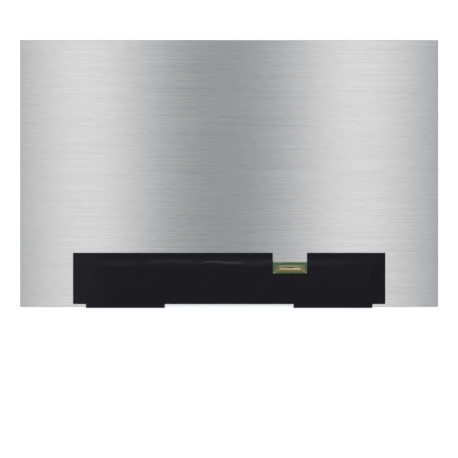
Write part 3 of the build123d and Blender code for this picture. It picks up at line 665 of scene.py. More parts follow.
class Palette:
    """Every finish of the panel by its slot. Each material is made once, when it is first asked for."""

    RESIST = SolderResist(linear(70, 103, 52), linear(58, 97, 44), 0.62 * MM)
    GAP = Moulded(linear(6, 48, 10), 0.40, 0.14, specular=0.12)
    # Dark patches of painted shade round and under the socket; between the contacts they also stand for bare
    # laminate.
    BARE_AND_SHADE = Moulded(linear(14, 30, 14), 0.50, 0.25, specular=0.08)
    PRINT = Moulded(linear(166, 190, 180), 0.55, 0.16, 5000.0)
    # Dark dots of painted shade inside the small holes.
    VIA_SHADE = Moulded(linear(12, 26, 10), 0.45, 0.20, specular=0.10)
    SOLDER = Plated(linear(206, 205, 196), 0.42, 0.24, 2600.0)
    DULL_SOLDER = Plated(linear(142, 140, 130), 0.50, 0.34, 2600.0)

    def __init__(self) -> None:
        """Set out the finishes. The tin on the contacts ends where their feet do."""
        foremost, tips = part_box("connector_contacts")
        foot = 0.56 * MM
        nick = (0.15 * MM, 0.22 * MM)
        picture_half = 150.8 * MM
        picture_low = -93.2 * MM
        picture_high = 95.3 * MM
        self.finishes: dict[Slot, Finish] = {
            Slot.MATT_POLARISER: DarkScreen(
                linear(31, 33, 37), linear(14, 14, 16), picture_half, picture_low, picture_high, 0.1 * MM
            ),
            Slot.CLEAR_POLARISER: Moulded(linear(92, 94, 98), 0.18),
            Slot.CELL_GLASS: CutGlass(linear(70, 88, 84), linear(150, 176, 168)),
            Slot.BLACK_TAPE: Moulded(linear(24, 24, 26), 0.62, 0.2),
            Slot.PRISM_SHEET: Moulded(linear(214, 218, 222), 0.22),
            Slot.DIFFUSER_SHEET: Moulded(linear(228, 230, 232), 0.55),
            Slot.CLEAR_ACRYLIC: Moulded(linear(220, 230, 228), 0.10),
            Slot.WHITE_REFLECTOR: Moulded(linear(242, 242, 242), 0.60),
            Slot.AMBER_FLEX: ConductorFilm(linear(150, 92, 30), linear(196, 128, 74), 0.16 * MM),
            Slot.WHITE_LAMP: Moulded(linear(232, 232, 226), 0.45),
            Slot.WHITE_FRAME: Moulded(linear(240, 240, 238), 0.42, 0.03),
            Slot.BRUSHED_PLATE: BrushedMetal(linear(167, 167, 167), 0.42, 0.9, 0.80, 0.3e-6),
            Slot.GREEN_BOARD: self.RESIST,
            Slot.BLACK_CHIP: Moulded(linear(38, 38, 40), 0.52, 0.15),
            Slot.FERRITE: Moulded(linear(68, 68, 71), 0.70, 0.2),
            Slot.TAN_CERAMIC: Moulded(linear(170, 144, 114), 0.45, 0.12),
            Slot.DARK_CERAMIC: Moulded(linear(48, 48, 52), 0.30),
            Slot.TINNED_LAND: self.DULL_SOLDER,
            # The shell's lip colour is painted shade and its bar colour is partly a painted highlight; the
            # rim, fold and bend lines are painted highlights.
            Slot.GOLD_SHELL: PressedShell(
                linear(173, 156, 113), 0.80, 0.30,
                arm_colour=linear(130, 115, 75), shaded_lip_colour=linear(116, 104, 68),
                middle=(foremost.x + tips.x) / 2, bar_half=7.9 * MM, rim_highlight_line=tips.y - 1.54 * MM,
                cuts=((0.0, 2.47 * MM, 0.32 * MM), (4.34 * MM, *nick), (5.66 * MM, *nick)),
                bend_highlights=(
                    (8.605 * MM, 0.18 * MM, tips.y - 2.40 * MM),
                    (8.375 * MM, 0.15 * MM, tips.y - 4.13 * MM),
                ),
                fold_highlight_line=tips.y - 2.345 * MM, lip_line=tips.y - 3.2 * MM,
                spring_line=tips.y - 2.97 * MM, spring_place=3.76 * MM, spring_spacing=2.5 * MM,
                spring_half=(0.60 * MM, 0.10 * MM), fade=0.08 * MM,
            ),
            Slot.GOLD_CONTACT: TinnedPlated(
                linear(192, 172, 110), 0.70, 0.26, 2600.0,
                tin_colour=linear(232, 232, 228), tin_line=tips.y - foot, tin_fade=0.04 * MM,
            ),
            Slot.BLACK_INSULATOR: Moulded(linear(20, 21, 27), 0.48, 0.25, 1500.0, specular=0.15),
            Slot.SILICON_DIE: Moulded(linear(88, 88, 96), 0.25),
            # The film's paler crease colour is a painted highlight.
            Slot.BLACK_COVER_FILM: CreasedFilm(
                linear(21, 20, 25), linear(84, 84, 88), 0.42, 0.06, -80 * MM, -118 * MM, 0.55
            ),
        }
        self.made: dict[str, bpy.types.Material] = {}

    def extra(self, name: str, finish: Finish) -> bpy.types.Material:
        """Material of a finish under a name, made once.

        Args:
            name: Name of the material.
            finish: What it looks like.

        Returns:
            The material.
        """
        if name not in self.made:
            self.made[name] = finish.material(name)
        return self.made[name]

    def of_slot(self, slot: Slot) -> bpy.types.Material:
        """Material of a slot."""
        return self.extra(slot.value, self.finishes[slot])


# Meshes
def grid_quads(rows: int, columns: int, wrapped: bool = False) -> np.ndarray:
    """Four corners of each cell of a grid of points that is stored row by row.

    Args:
        rows: Rows of points.
        columns: Points in a row.
        wrapped: Whether the last column joins the first.

    Returns:
        An array of cells by 4, wound from a column to the next and then to the next row.
    """
    index = np.arange(rows * columns).reshape(rows, columns)
    following = np.roll(index, -1, axis=1)
    reach = columns if wrapped else columns - 1
    corners = (index[:-1, :reach], following[:-1, :reach], following[1:, :reach], index[1:, :reach])
    return np.stack(corners, axis=-1).reshape(-1, 4)


def repeated(cells: np.ndarray, count: int, stride: int) -> np.ndarray:
    """Cells of one shape repeated for many shapes whose points follow each other.

    Args:
        cells: Cells of the first shape.
        count: Number of shapes.
        stride: Points in each shape.

    Returns:
        Cells of all the shapes.
    """
    offsets = np.arange(count)[:, None, None] * stride
    return (cells[None] + offsets).reshape(-1, cells.shape[1])


def mesh_of(name: str, points: np.ndarray, *groups: np.ndarray) -> bpy.types.Mesh:
    """Smooth mesh of some points and groups of faces.

    Args:
        name: Name of the mesh.
        points: An array of points by 3, in metres.
        groups: Arrays of faces by their number of corners.

    Returns:
        The mesh.
    """
    corners = np.concatenate([group.ravel() for group in groups])
    sizes = np.concatenate([np.full(len(group), group.shape[1]) for group in groups])
    mesh = bpy.data.meshes.new(name)
    mesh.vertices.add(len(points))
    mesh.vertices.foreach_set("co", points.astype(np.float32).ravel())
    mesh.loops.add(len(corners))
    mesh.loops.foreach_set("vertex_index", corners.astype(np.int32))
    mesh.polygons.add(len(sizes))
    mesh.polygons.foreach_set("loop_start", (np.cumsum(sizes) - sizes).astype(np.int32))
    mesh.update(calc_edges=True)
    mesh.validate()
    mesh.polygons.foreach_set("use_smooth", np.ones(len(sizes), dtype=bool))
    return mesh


def place_piece(mesh: bpy.types.Mesh, material: bpy.types.Material) -> bpy.types.Object:
    """Put a mesh into the scene as a piece of the panel.

    Args:
        mesh: The finished mesh, whose name the piece takes.
        material: What it is made of.

    Returns:
        The piece, riding on the panel's body.
    """
    piece = bpy.data.objects.new(mesh.name, mesh)
    bpy.context.scene.collection.objects.link(piece)
    mesh.materials.append(material)
    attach(piece, BODY)
    LOG.info("piece %s: %d faces", piece.name, len(mesh.polygons))
    return piece


def thicken(piece: bpy.types.Object, thickness: float, offset: float) -> None:
    """Give a sheet a wall.

    Args:
        piece: The sheet.
        thickness: The wall's thickness, in millimetres.
        offset: 1 for a wall outwards of the faces, and -1 for one inwards.
    """
    wall = piece.modifiers.new("thickness", "SOLIDIFY")
    wall.thickness = thickness * MM
    wall.offset = offset


def on_board(flat: np.ndarray, lift: float | np.ndarray) -> np.ndarray:
    """Points in metres of places (u, v) beside the socket.

    Args:
        flat: Places by 2, in millimetres.
        lift: Height over the board, in millimetres, one for all or one for each.

    Returns:
        Points by 3.
    """
    low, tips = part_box("connector_contacts")
    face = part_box("circuit_board")[1].z
    heights = np.broadcast_to(np.asarray(lift, dtype=float), flat.shape[:1]) * MM + face
    return np.stack([(low.x + tips.x) / 2 + flat[:, 0] * MM, tips.y - flat[:, 1] * MM, heights], axis=-1)


def mounds(
    name: str, centres: np.ndarray, sizes: np.ndarray, power: float, material: bpy.types.Material,
    rings: int = 6, sides: int = 20,
) -> bpy.types.Object:
    """Closed lumps that sit on the board.

    At a turn a and a share b from the rim to the top, a point is the centre plus w cos(a) and d sin(a),
    times cos(b pi / 2)^0.6 over the power norm of (cos a, sin a), at a height of h sin(b pi / 2). A power
    of 2 makes them round and a larger one squarer. Single points close the top and the foot.

    Args:
        name: Name of the piece.
        centres: Middles (u, v) by 2, in millimetres.
        sizes: Half width w, half depth d and height h by 3, in millimetres.
        power: Power of the norm.
        material: What the lumps are made of.
        rings: Rings of points from the rim to the top.
        sides: Points in a ring.

    Returns:
        The piece.
    """
    turn = np.linspace(0, 2 * math.pi, sides, endpoint=False)
    share = np.linspace(0, 1, rings, endpoint=False) * math.pi / 2
    rim = np.stack([np.cos(turn), np.sin(turn)], axis=-1)
    rim = rim / np.sum(np.abs(rim) ** power, axis=1, keepdims=True) ** (1 / power)
    reach = (np.cos(share) ** 0.6)[:, None, None] * rim
    flat = centres[:, None, None] + reach * sizes[:, None, None, :2]
    flat = np.concatenate([flat.reshape(len(centres), -1, 2), centres[:, None], centres[:, None]], axis=1)
    rise = np.concatenate([np.repeat(np.sin(share), sides), [1.0, 0.0]])
    stride = len(rise)
    first = np.arange(sides)
    last = first + (rings - 1) * sides
    top = np.stack([np.roll(last, -1), last, np.full(sides, stride - 2)], axis=-1)
    foot = np.stack([first, np.roll(first, -1), np.full(sides, stride - 1)], axis=-1)
    body = grid_quads(rings, sides, wrapped=True)[:, ::-1]
    groups = [repeated(cells, len(centres), stride) for cells in (body, np.concatenate([top, foot]))]
    points = on_board(flat.reshape(-1, 2), (rise * sizes[:, 2:]).reshape(-1))
    return place_piece(mesh_of(name, points, *groups), material)


def dress_nodes(palette: Palette, names: tuple[str, ...]) -> None:
    """Give solids the finish of their slot in the record.

    Args:
        palette: The finishes.
        names: Nodes to dress.
    """
    slots = {part["node"]: Slot(part["material_slot"]) for part in frame["record"]["subparts"]}
    for name in names:
        frame["nodes"][name].material_slots[0].material = palette.of_slot(slots[name])
        LOG.info("node %s: %s", name, slots[name].value)


# Screen cell, backlight and plate
@dataclass(frozen=True)
class Layers:
    """Flat layers of the panel, whose solids already have their shape."""

    nodes: tuple[str, ...]

    def dress(self, palette: Palette) -> None:
        """Give each layer its finish."""
        dress_nodes(palette, self.nodes)


# Cover film
@dataclass(frozen=True)
class Crease:
    """Ridge in the film, in millimetres. Its line is straight apart from one arch."""

    left: float
    right: float
    left_y: float
    right_y: float
    arch: float
    apex: float
    spread: float
    left_width: float
    right_width: float
    height: float
    crease_highlight: float
    end_share: float = 0.25

    def shape(self, x: np.ndarray, y: np.ndarray) -> np.ndarray:
        """Height of the ridge as a share, which fades out at both ends.

        The line runs from its left end to its right one and rises by the arch times
        exp(-((x - apex) / spread)^2). The share is exp(-((y - line) / width)^2), where the width goes
        evenly from its left value to its right one.

        Args:
            x: Places across the film, in millimetres.
            y: Places along the film, in millimetres.

        Returns:
            The share, between 0 and 1.
        """
        length = self.right - self.left
        share = (x - self.left) / length
        line = self.left_y + (self.right_y - self.left_y) * share
        line = line + self.arch * np.exp(-(((x - self.apex) / self.spread) ** 2))
        width = self.left_width + (self.right_width - self.left_width) * np.clip(share, 0, 1)
        fade = smooth(share / self.end_share) * smooth((1 - share) / self.end_share)
        return fade * np.exp(-(((y - line) / width) ** 2))


@dataclass(frozen=True)
class CoverFilm:
    """Black film over the board, notched at the socket, with two tabs round the bottom edge.

    Lengths are in millimetres, and match the solid that the film stands for.
    """

    thickness: float = 0.08
    driver_film: float = 0.08
    top_ramp: float = 1.9
    side_ramp: float = 2.5
    bottom_brim: float = 0.40
    inner_ramp: float = 3.0
    side_shelf: float = 4.0
    bottom_shelf: float = 3.5
    flex: float = 0.10
    tallest_part: float = 0.60
    notch_side: float = 1.5
    notch_front: float = 1.1
    notch_valley: float = 6.0
    tab_margin: float = 1.5
    tab_run: float = 1.2
    cut_back: float = 2.0
    lane_fade: float = 0.9
    coarse_step: float = 0.8
    fine_step: float = 0.18
    crease_zone: tuple[float, float] = (-70.0, -61.5)
    tab_rows: int = 4
    turn_rows: int = 17
    run_rows: int = 3
    slack: float = 0.035
    slack_waves: tuple[float, float, float, float] = (9.0, 5.0, 4.0, 17.0)
    creases: tuple[Crease, ...] = (
        Crease(-150.0, 140.0, -64.9, -64.9, 0.0, 0.0, 8.0, 2.4, 2.4, 0.0, 0.028),
        Crease(-98.0, -63.0, -66.4, -66.6, 0.0, -80.0, 8.0, 1.7, 1.7, 0.04, 0.048),
        Crease(-64.0, -21.0, -65.8, -65.3, 1.2, -44.0, 12.0, 1.5, 1.5, 0.07, 0.085),
        Crease(-26.0, 15.0, -66.6, -65.25, 1.4, -13.5, 8.8, 0.50, 1.12, 0.14, 0.33),
        Crease(6.0, 42.0, -66.3, -64.6, 0.0, 20.0, 8.0, 1.8, 1.8, 0.05, 0.070),
        Crease(48.0, 92.0, -66.7, -64.4, 0.0, 70.0, 9.0, 1.7, 1.7, 0.04, 0.055),
    )

    def build(self, palette: Palette) -> bpy.types.Object:
        """Make the film's mesh and put it in the place of its solid.

        Args:
            palette: The finishes.

        Returns:
            The film.
        """
        low, high = (np.array(corner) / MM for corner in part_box("cover_film"))
        columns = self.columns(low[0], high[0])
        points, kept, crease_highlight = self.surface(columns, low, high)
        quads = grid_quads(points.shape[0], points.shape[1])[kept.ravel()]
        used, quads = np.unique(quads[:, ::-1], return_inverse=True)
        mesh = mesh_of("cover_film_sheet", points.reshape(-1, 3)[used] * MM, quads.reshape(-1, 4))
        # The crease attribute carries the painted highlights along the creases.
        values = mesh.attributes.new("crease", "FLOAT", "POINT")
        values.data.foreach_set("value", crease_highlight.ravel()[used].astype(np.float32))
        self.sharpen_rim(mesh)
        piece = place_piece(mesh, palette.of_slot(Slot.BLACK_COVER_FILM))
        thicken(piece, self.thickness, 1.0)
        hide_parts("cover_film")
        return piece

    def sharpen_rim(self, mesh: bpy.types.Mesh) -> None:
        """Mark the film's free edges as sharp, so that its wall doesn't round the shading.

        Args:
            mesh: The film's mesh.
        """
        edges = np.zeros(len(mesh.loops), dtype=np.int32)
        mesh.loops.foreach_get("edge_index", edges)
        free = np.bincount(edges, minlength=len(mesh.edges)) == 1
        mesh.attributes.new("sharp_edge", "BOOLEAN", "EDGE").data.foreach_set("value", free)

    def notch(self) -> tuple[float, float, float]:
        """Left, right and bottom edges of the notch round the socket."""
        low, high = (np.array(corner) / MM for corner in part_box("connector_shell"))
        return low[0] - self.notch_side, high[0] + self.notch_side, low[1] - self.notch_front

    def lanes(self) -> list[tuple[float, float]]:
        """Left and right edges of each tab, which cover the driver films."""
        boxes = [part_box(name) for name in ("driver_film_left", "driver_film_right")]
        return [(low.x / MM - self.tab_margin, high.x / MM + self.tab_margin) for low, high in boxes]

    def columns(self, left: float, right: float) -> np.ndarray:
        """Places of the columns, with one on each edge of the outline.

        Args:
            left: Left edge of the film.
            right: Right edge of the film.

        Returns:
            The places, from left to right.
        """
        notch_left, notch_right, _ = self.notch()
        marks = sorted([left, right, notch_left, notch_right, *np.ravel(self.lanes())])
        spans = [(a, b, math.ceil((b - a) / self.coarse_step)) for a, b in zip(marks, marks[1:])]
        return np.concatenate([*(np.linspace(a, b, count, endpoint=False) for a, b, count in spans), [right]])

    def rows(self, top: float, bottom: float) -> np.ndarray:
        """Places of the flat rows from the top edge to the bottom one, finer in the crease zone.

        Args:
            top: Top edge of the film.
            bottom: Bottom edge of the flat part.

        Returns:
            The places, from the top down.
        """
        zone_low, zone_high = self.crease_zone
        _, _, notch_bottom = self.notch()
        marks = (top, zone_high, zone_low, notch_bottom, bottom)
        steps = (self.coarse_step, self.fine_step, self.coarse_step, self.coarse_step)
        spans = zip(marks, marks[1:], steps)
        runs = [np.linspace(a, b, math.ceil((a - b) / step), endpoint=False) for a, b, step in spans]
        return np.concatenate([*runs, [bottom]])

    def surface(
        self, columns: np.ndarray, low: np.ndarray, high: np.ndarray
    ) -> tuple[np.ndarray, np.ndarray, np.ndarray]:
        """Points of the film's inner face, in millimetres.

        Flat rows follow the drape. Below the bottom edge the rows follow the turn, which is half a
        circle about a line along X, y = middle - r sin(a) and z = middle + r cos(a), and then run
        back over the display side.

        Args:
            columns: Places of the columns.
            low: Lowest corner of the film's solid.
            high: Highest corner of the film's solid.

        Returns:
            The points as rows by columns by 3, a flag for each cell that is film, and the painted highlight
            of each point.
        """
        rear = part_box("rear_plate")[1].z / MM
        top_face = rear + self.driver_film + self.thickness
        outer = (top_face - low[2]) / 2
        radius = outer - self.thickness
        turn_y = low[1] + outer
        turn_z = low[2] + outer
        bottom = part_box("rear_plate")[0].y / MM + self.cut_back
        flat = self.rows(high[1], bottom)
        tab = np.linspace(bottom, turn_y, self.tab_rows)[1:]
        angle = np.linspace(0, math.pi, self.turn_rows)[1:]
        run = np.linspace(turn_y, turn_y + self.tab_run, self.run_rows)[1:]
        y = np.concatenate([flat, tab, turn_y - radius * np.sin(angle), run])
        z = np.concatenate([
            np.zeros(len(flat)),
            np.full(len(tab), turn_z + radius),
            turn_z + radius * np.cos(angle),
            np.full(len(run), turn_z - radius),
        ])
        grid_x, grid_y = np.meshgrid(columns, y)
        grid_z = np.repeat(z[:, None], len(columns), axis=1)
        flat_x, flat_y = grid_x[: len(flat)], grid_y[: len(flat)]
        grid_z[: len(flat)] = rear + self.drape(flat_x, flat_y)
        crease_highlight = np.zeros_like(grid_z)
        # Painted highlights along the creases, with a faint one along the board's top edge.
        crease_highlight[: len(flat)] = sum(crease.crease_highlight * crease.shape(flat_x, flat_y) for crease in self.creases)
        points = np.stack([grid_x, grid_y, grid_z], axis=-1)
        return points, self.kept_cells(columns, y, len(flat)), crease_highlight

    def kept_cells(self, columns: np.ndarray, y: np.ndarray, flat_rows: int) -> np.ndarray:
        """Which cells are film: none in the notch, and only the tabs beyond the flat rows.

        Args:
            columns: Places of the columns.
            y: Places of the rows.
            flat_rows: Number of flat rows.

        Returns:
            A flag for each cell, as rows by columns.
        """
        left, right, notch_bottom = self.notch()
        x = (columns[1:] + columns[:-1]) / 2
        middle = (y[1:] + y[:-1]) / 2
        in_notch = ((x > left) & (x < right))[None] & (middle > notch_bottom)[:, None]
        in_tab = np.any([(x > a) & (x < b) for a, b in self.lanes()], axis=0)
        is_flat = (np.arange(len(middle)) < flat_rows - 1)[:, None]
        return np.where(is_flat, ~in_notch, in_tab[None])

    def hill(self, x: np.ndarray, y: np.ndarray, foot: np.ndarray, top: np.ndarray) -> np.ndarray:
        """Share of a flat-topped hill: the product of a smooth step in from each side of its foot.

        Args:
            x: Places across the film.
            y: Places along the film.
            foot: Left, right, bottom and top edges of the foot.
            top: The same edges of the flat top.

        Returns:
            The share, from 0 at the foot to 1 on the top.
        """
        across = smooth((x - foot[0]) / (top[0] - foot[0])) * smooth((foot[1] - x) / (foot[1] - top[1]))
        along = smooth((y - foot[2]) / (top[2] - foot[2])) * smooth((foot[3] - y) / (foot[3] - top[3]))
        return across * along

    def drape(self, x: np.ndarray, y: np.ndarray) -> np.ndarray:
        """Height of the film's inner face over the plate.

        A hill over the board carries hills over its parts. The driver films lift the tabs' lanes,
        and the creases and a little slack, which is a product of two slow waves, come on top.

        Args:
            x: Places across the film.
            y: Places along the film.

        Returns:
            The height, in millimetres.
        """
        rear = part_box("rear_plate")[1].z / MM
        low, high = (np.array(corner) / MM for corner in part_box("circuit_board"))
        bottom = y.min()
        board = np.array([low[0], high[0], low[1], high[1]])
        foot = np.array([
            low[0] - self.side_ramp, high[0] + self.side_ramp,
            bottom + self.bottom_brim, high[1] + self.top_ramp,
        ])
        on_board = self.hill(x, y, foot, board)
        outward = np.array([-1, 1, -1, 1]) * self.inner_ramp
        over_parts = np.max([self.hill(x, y, zone + outward, zone) for zone in self.zones(board)], axis=0)
        lane = np.max([self.lane_share(x, a, b) for a, b in self.lanes()], axis=0)
        height = np.maximum((high[2] - rear + self.flex) * on_board, self.driver_film * lane)
        height = height + (self.tallest_part - self.flex) * over_parts
        x_wave, y_bend, y_wave, x_bend = self.slack_waves
        ripple = np.sin(x / x_wave + np.sin(y / y_bend)) * np.sin(y / y_wave + np.sin(x / x_bend))
        waves = 0.5 + 0.5 * ripple
        ridges = sum(crease.height * crease.shape(x, y) for crease in self.creases)
        return height + ridges + self.slack * waves * on_board

    def zones(self, board: np.ndarray) -> list[np.ndarray]:
        """Edges of the raised zones over the parts: left and right of the notch, and below it.

        Args:
            board: Left, right, bottom and top edges of the board.

        Returns:
            The same edges of each zone.
        """
        notch_left, notch_right, notch_bottom = self.notch()
        left, right = board[0] + self.side_shelf, board[1] - self.side_shelf
        bottom, top = board[2] + self.bottom_shelf, board[3] - self.inner_ramp
        return [
            np.array([left, notch_left - self.notch_valley, bottom, top]),
            np.array([notch_right + self.notch_valley, right, bottom, top]),
            np.array([left, right, bottom, notch_bottom - self.notch_valley]),
        ]

    def lane_share(self, x: np.ndarray, left: float, right: float) -> np.ndarray:
        """Share of a tab's lane, which fades out beyond its edges."""
        return smooth((x - left) / self.lane_fade + 1) * smooth((right - x) / self.lane_fade + 1)


# Face of the board
@dataclass(frozen=True)
class BoardFace:
    """Board's face round the socket: gaps between its copper areas, patches of painted shade that lie partly
    over bare laminate, small holes drawn as dark dots of painted shade, and white print.
    """

    gap_width: float = 0.21
    gap_lift: float = 0.006
    shade_patch_lift: float = 0.004
    # Patches of painted shade: between the contacts over bare laminate, round the tails and legs, and under
    # the arms' lances.
    contact_bare_and_shade: tuple[float, float, float, float] = (-7.78, 7.78, -0.10, 1.28)
    side_shade_patches: tuple[tuple[float, float, float, float], ...] = (
        (7.86, 8.56, -0.07, 0.72), (8.95, 11.26, 2.34, 4.46), (7.98, 8.78, 3.42, 4.20)
    )
    gaps: tuple[tuple[tuple[float, float], ...], ...] = (
        ((12.7, -2.20), (-4.60, -2.20), (-5.64, -1.09), (-6.70, -1.09), (-7.00, -0.70), (-7.00, -0.18)),
        (
            (12.7, 1.62), (11.9, 1.55), (11.45, 1.20), (11.62, 0.40), (11.40, -0.60), (11.35, -1.46),
            (-4.08, -1.46), (-5.02, -0.60), (-5.02, -0.18),
        ),
        ((1.05, 4.30), (1.05, 4.88), (2.90, 5.85)),
        ((1.91, 4.30), (1.91, 4.55), (4.20, 5.85)),
    )
    arch_middle: tuple[float, float] = (-3.74, -0.42)
    arch_radius: float = 0.37
    arch_foot: float = -0.18
    arch_points: int = 15
    corner: float = 0.16
    corner_limit: float = 0.49
    corner_steps: int = 7
    print_width: float = 0.085
    print_lift: float = 0.010
    bracket_inner: float = 8.9
    bracket_outer: float = 11.1
    bracket_rear: float = 0.50
    bracket_front: float = 2.07
    ticks: tuple[float, ...] = (-7.25, -4.75, -2.25, 0.25, 2.75, 5.25, 7.25)
    tick_row: float = -0.27
    tick_half: float = 0.09
    one: tuple[tuple[float, float], ...] = ((7.16, -1.74), (7.25, -1.82), (7.25, -1.28))
    three_upper: tuple[float, float, float] = (-7.52, -1.68, 0.13)
    three_lower: tuple[float, float, float] = (-7.52, -1.42, 0.14)
    bow_points: int = 9
    zero: tuple[float, float, float, float] = (-7.12, -1.55, 0.13, 0.27)
    zero_points: int = 17
    hole_size: tuple[float, float, float] = (0.085, 0.085, 0.016)
    ring_size: tuple[float, float, float] = (0.19, 0.19, 0.012)
    pad_size: tuple[float, float, float] = (0.27, 0.27, 0.025)
    hole_rows: tuple[float, float, float] = (-0.49, 4.64, 4.50)
    group_radius: float = 0.27
    group_points: int = 25
    rear_holes: tuple[float, ...] = (
        -10.7, -9.9, -9.0, -8.0, -4.5, -3.74, -2.9, -1.9, -0.1, 0.4, 1.65, 3.35, 5.1, 6.8, 8.5, 10.7
    )
    front_holes: tuple[float, ...] = (-8.9, -6.8, -4.15, -2.35, -0.95, -0.3, 3.6, 5.4)
    group_holes: tuple[float, ...] = (7.53, 8.11, 8.70)
    test_pads: tuple[tuple[float, float], ...] = ((-11.95, 5.55), (-11.0, 5.20), (-8.85, 5.42), (11.5, 5.05))
    nodes: tuple[str, ...] = (
        "circuit_board", "board_tape", "timing_controller", "power_chip", "backlight_driver", "memory_chip",
        "power_inductors", "rectifier_diodes", "ceramic_capacitors", "chip_resistors", "driver_film_left",
        "driver_film_right", "driver_chip_left", "driver_chip_right", "led_strip",
    )

    def dress(self, palette: Palette) -> None:
        """Give the board and what is fixed to it their finishes."""
        dress_nodes(palette, self.nodes)

    def build(self, palette: Palette) -> None:
        """Make the gaps, the patches of painted shade, the holes with their rims, the test pads and the
        print.

        Args:
            palette: The finishes.
        """
        group = (self.hole_rows[-1], self.group_radius, self.group_radius)
        gaps = [self.rounded(np.array(path)) for path in self.gaps]
        gaps.append(self.arch())
        gaps += [self.arc((u, *group), 0.0, 2.0, self.group_points) for u in self.group_holes]
        between = palette.extra("gap", palette.GAP)
        self.strips("board_copper_gaps", gaps, self.gap_width, self.gap_lift, between)
        # Patches of painted shade round and under the socket.
        areas = np.array([self.contact_bare_and_shade, *self.side_shade_patches, *self.mirrored(self.side_shade_patches)])
        lines, depths = self.patch_lines(areas)
        self.strips("board_bare_laminate_and_shade", lines, depths, self.shade_patch_lift, palette.extra("bare", palette.BARE_AND_SHADE))
        ink = palette.extra("print", palette.PRINT)
        self.strips("board_print", self.print_paths(), self.print_width, self.print_lift, ink)
        self.dots("board_hole_rims", self.holes(), self.ring_size, palette.of_slot(Slot.GREEN_BOARD))
        # The holes are dark dots of painted shade.
        self.dots("board_holes", self.holes(), self.hole_size, palette.extra("via_shade", palette.VIA_SHADE))
        solder = palette.extra("solder", palette.SOLDER)
        self.dots("board_test_pads", np.array(self.test_pads), self.pad_size, solder)

    def holes(self) -> np.ndarray:
        """Places (u, v) of the small holes, row by row."""
        rows = zip((self.rear_holes, self.front_holes, self.group_holes), self.hole_rows)
        return np.array([(u, v) for places, v in rows for u in places])

    def dots(
        self, name: str, places: np.ndarray, size: tuple[float, float, float], material: bpy.types.Material,
    ) -> bpy.types.Object:
        """Round dots of one size at some places."""
        return mounds(name, places, np.tile(size, (len(places), 1)), 2.0, material, rings=3, sides=16)

    def mirrored(self, areas: tuple[tuple[float, float, float, float], ...]) -> list[tuple[float, ...]]:
        """Areas on the other side of the socket."""
        return [(-right, -left, rear, front) for left, right, rear, front in areas]

    def patch_lines(self, areas: np.ndarray) -> tuple[list[np.ndarray], np.ndarray]:
        """Middle line and depth of each patch, given its left, right, rear and front edges.

        Args:
            areas: Areas by 4, in millimetres.

        Returns:
            The lines, and the depths.
        """
        left, right, rear, front = areas.T
        middle = (rear + front) / 2
        return list(np.stack([[left, middle], [right, middle]]).transpose(2, 0, 1)), front - rear

    def print_paths(self) -> list[np.ndarray]:
        """Points (u, v) of the white lines: brackets, pin ticks and the first and last pins' numbers.

        Returns:
            A path for each line.
        """
        paths = []
        for side in (-1, 1):
            bracket = [(self.bracket_inner, self.bracket_rear), (self.bracket_outer, self.bracket_rear)]
            bracket.append((self.bracket_outer, self.bracket_front))
            paths.append(np.array(bracket) * (side, 1))
        tick = np.array([(-self.tick_half, self.tick_row), (self.tick_half, self.tick_row)])
        paths += [tick + (u, 0.0) for u in self.ticks]
        return paths + self.numbers()

    def numbers(self) -> list[np.ndarray]:
        """Strokes of a 1 over the first pin, and of a 3 and a 0 over the last.

        Returns:
            A path for each figure.
        """
        upper = self.arc((*self.three_upper, self.three_upper[-1]), -0.75, 0.5, self.bow_points)
        lower = self.arc((*self.three_lower, self.three_lower[-1]), -0.5, 0.75, self.bow_points)
        zero = self.arc(self.zero, 0.5, -1.5, self.zero_points)
        return [np.array(self.one), np.concatenate([upper, lower]), zero]

    def rounded(self, corners: np.ndarray) -> np.ndarray:
        """Path through corner points, with each inner corner rounded.

        A corner B becomes the curve (1 - t)^2 A + 2 t (1 - t) B + t^2 C, where A and C lie on its two
        runs, a set length from it or at most at the middle of the run.

        Args:
            corners: Points by 2.

        Returns:
            The rounded path, as points by 2.
        """
        before, at, after = corners[:-2], corners[1:-1], corners[2:]
        back, ahead = before - at, after - at
        back_length = np.linalg.norm(back, axis=1, keepdims=True)
        ahead_length = np.linalg.norm(ahead, axis=1, keepdims=True)
        start = at + back * np.minimum(self.corner / back_length, self.corner_limit)
        end = at + ahead * np.minimum(self.corner / ahead_length, self.corner_limit)
        t = np.linspace(0, 1, self.corner_steps)[None, :, None]
        curve = (1 - t) ** 2 * start[:, None] + 2 * t * (1 - t) * at[:, None] + t**2 * end[:, None]
        return np.concatenate([corners[:1], curve.reshape(-1, 2), corners[-1:]])

    def arc(
        self, oval: tuple[float, float, float, float], start: float, end: float, count: int
    ) -> np.ndarray:
        """Arc of an oval: its middle plus its half width times cos(a) and its half depth times sin(a).

        Args:
            oval: Middle (u, v), half width and half depth, in millimetres.
            start: Angle of the first point, in half turns.
            end: Angle of the last point, in half turns.
            count: Number of points.

        Returns:
            Points by 2.
        """
        u, v, half_width, half_depth = oval
        angle = np.linspace(start * math.pi, end * math.pi, count)
        return np.stack([u + half_width * np.cos(angle), v + half_depth * np.sin(angle)], axis=-1)

    def arch(self) -> np.ndarray:
        """Gap round a hole: an arch that is open towards the contacts.

        Returns:
            Points by 2.
        """
        u, radius = self.arch_middle[0], self.arch_radius
        arc = self.arc((*self.arch_middle, radius, radius), 1.0, 2.0, self.arch_points)
        return np.concatenate([[(u - radius, self.arch_foot)], arc, [(u + radius, self.arch_foot)]])

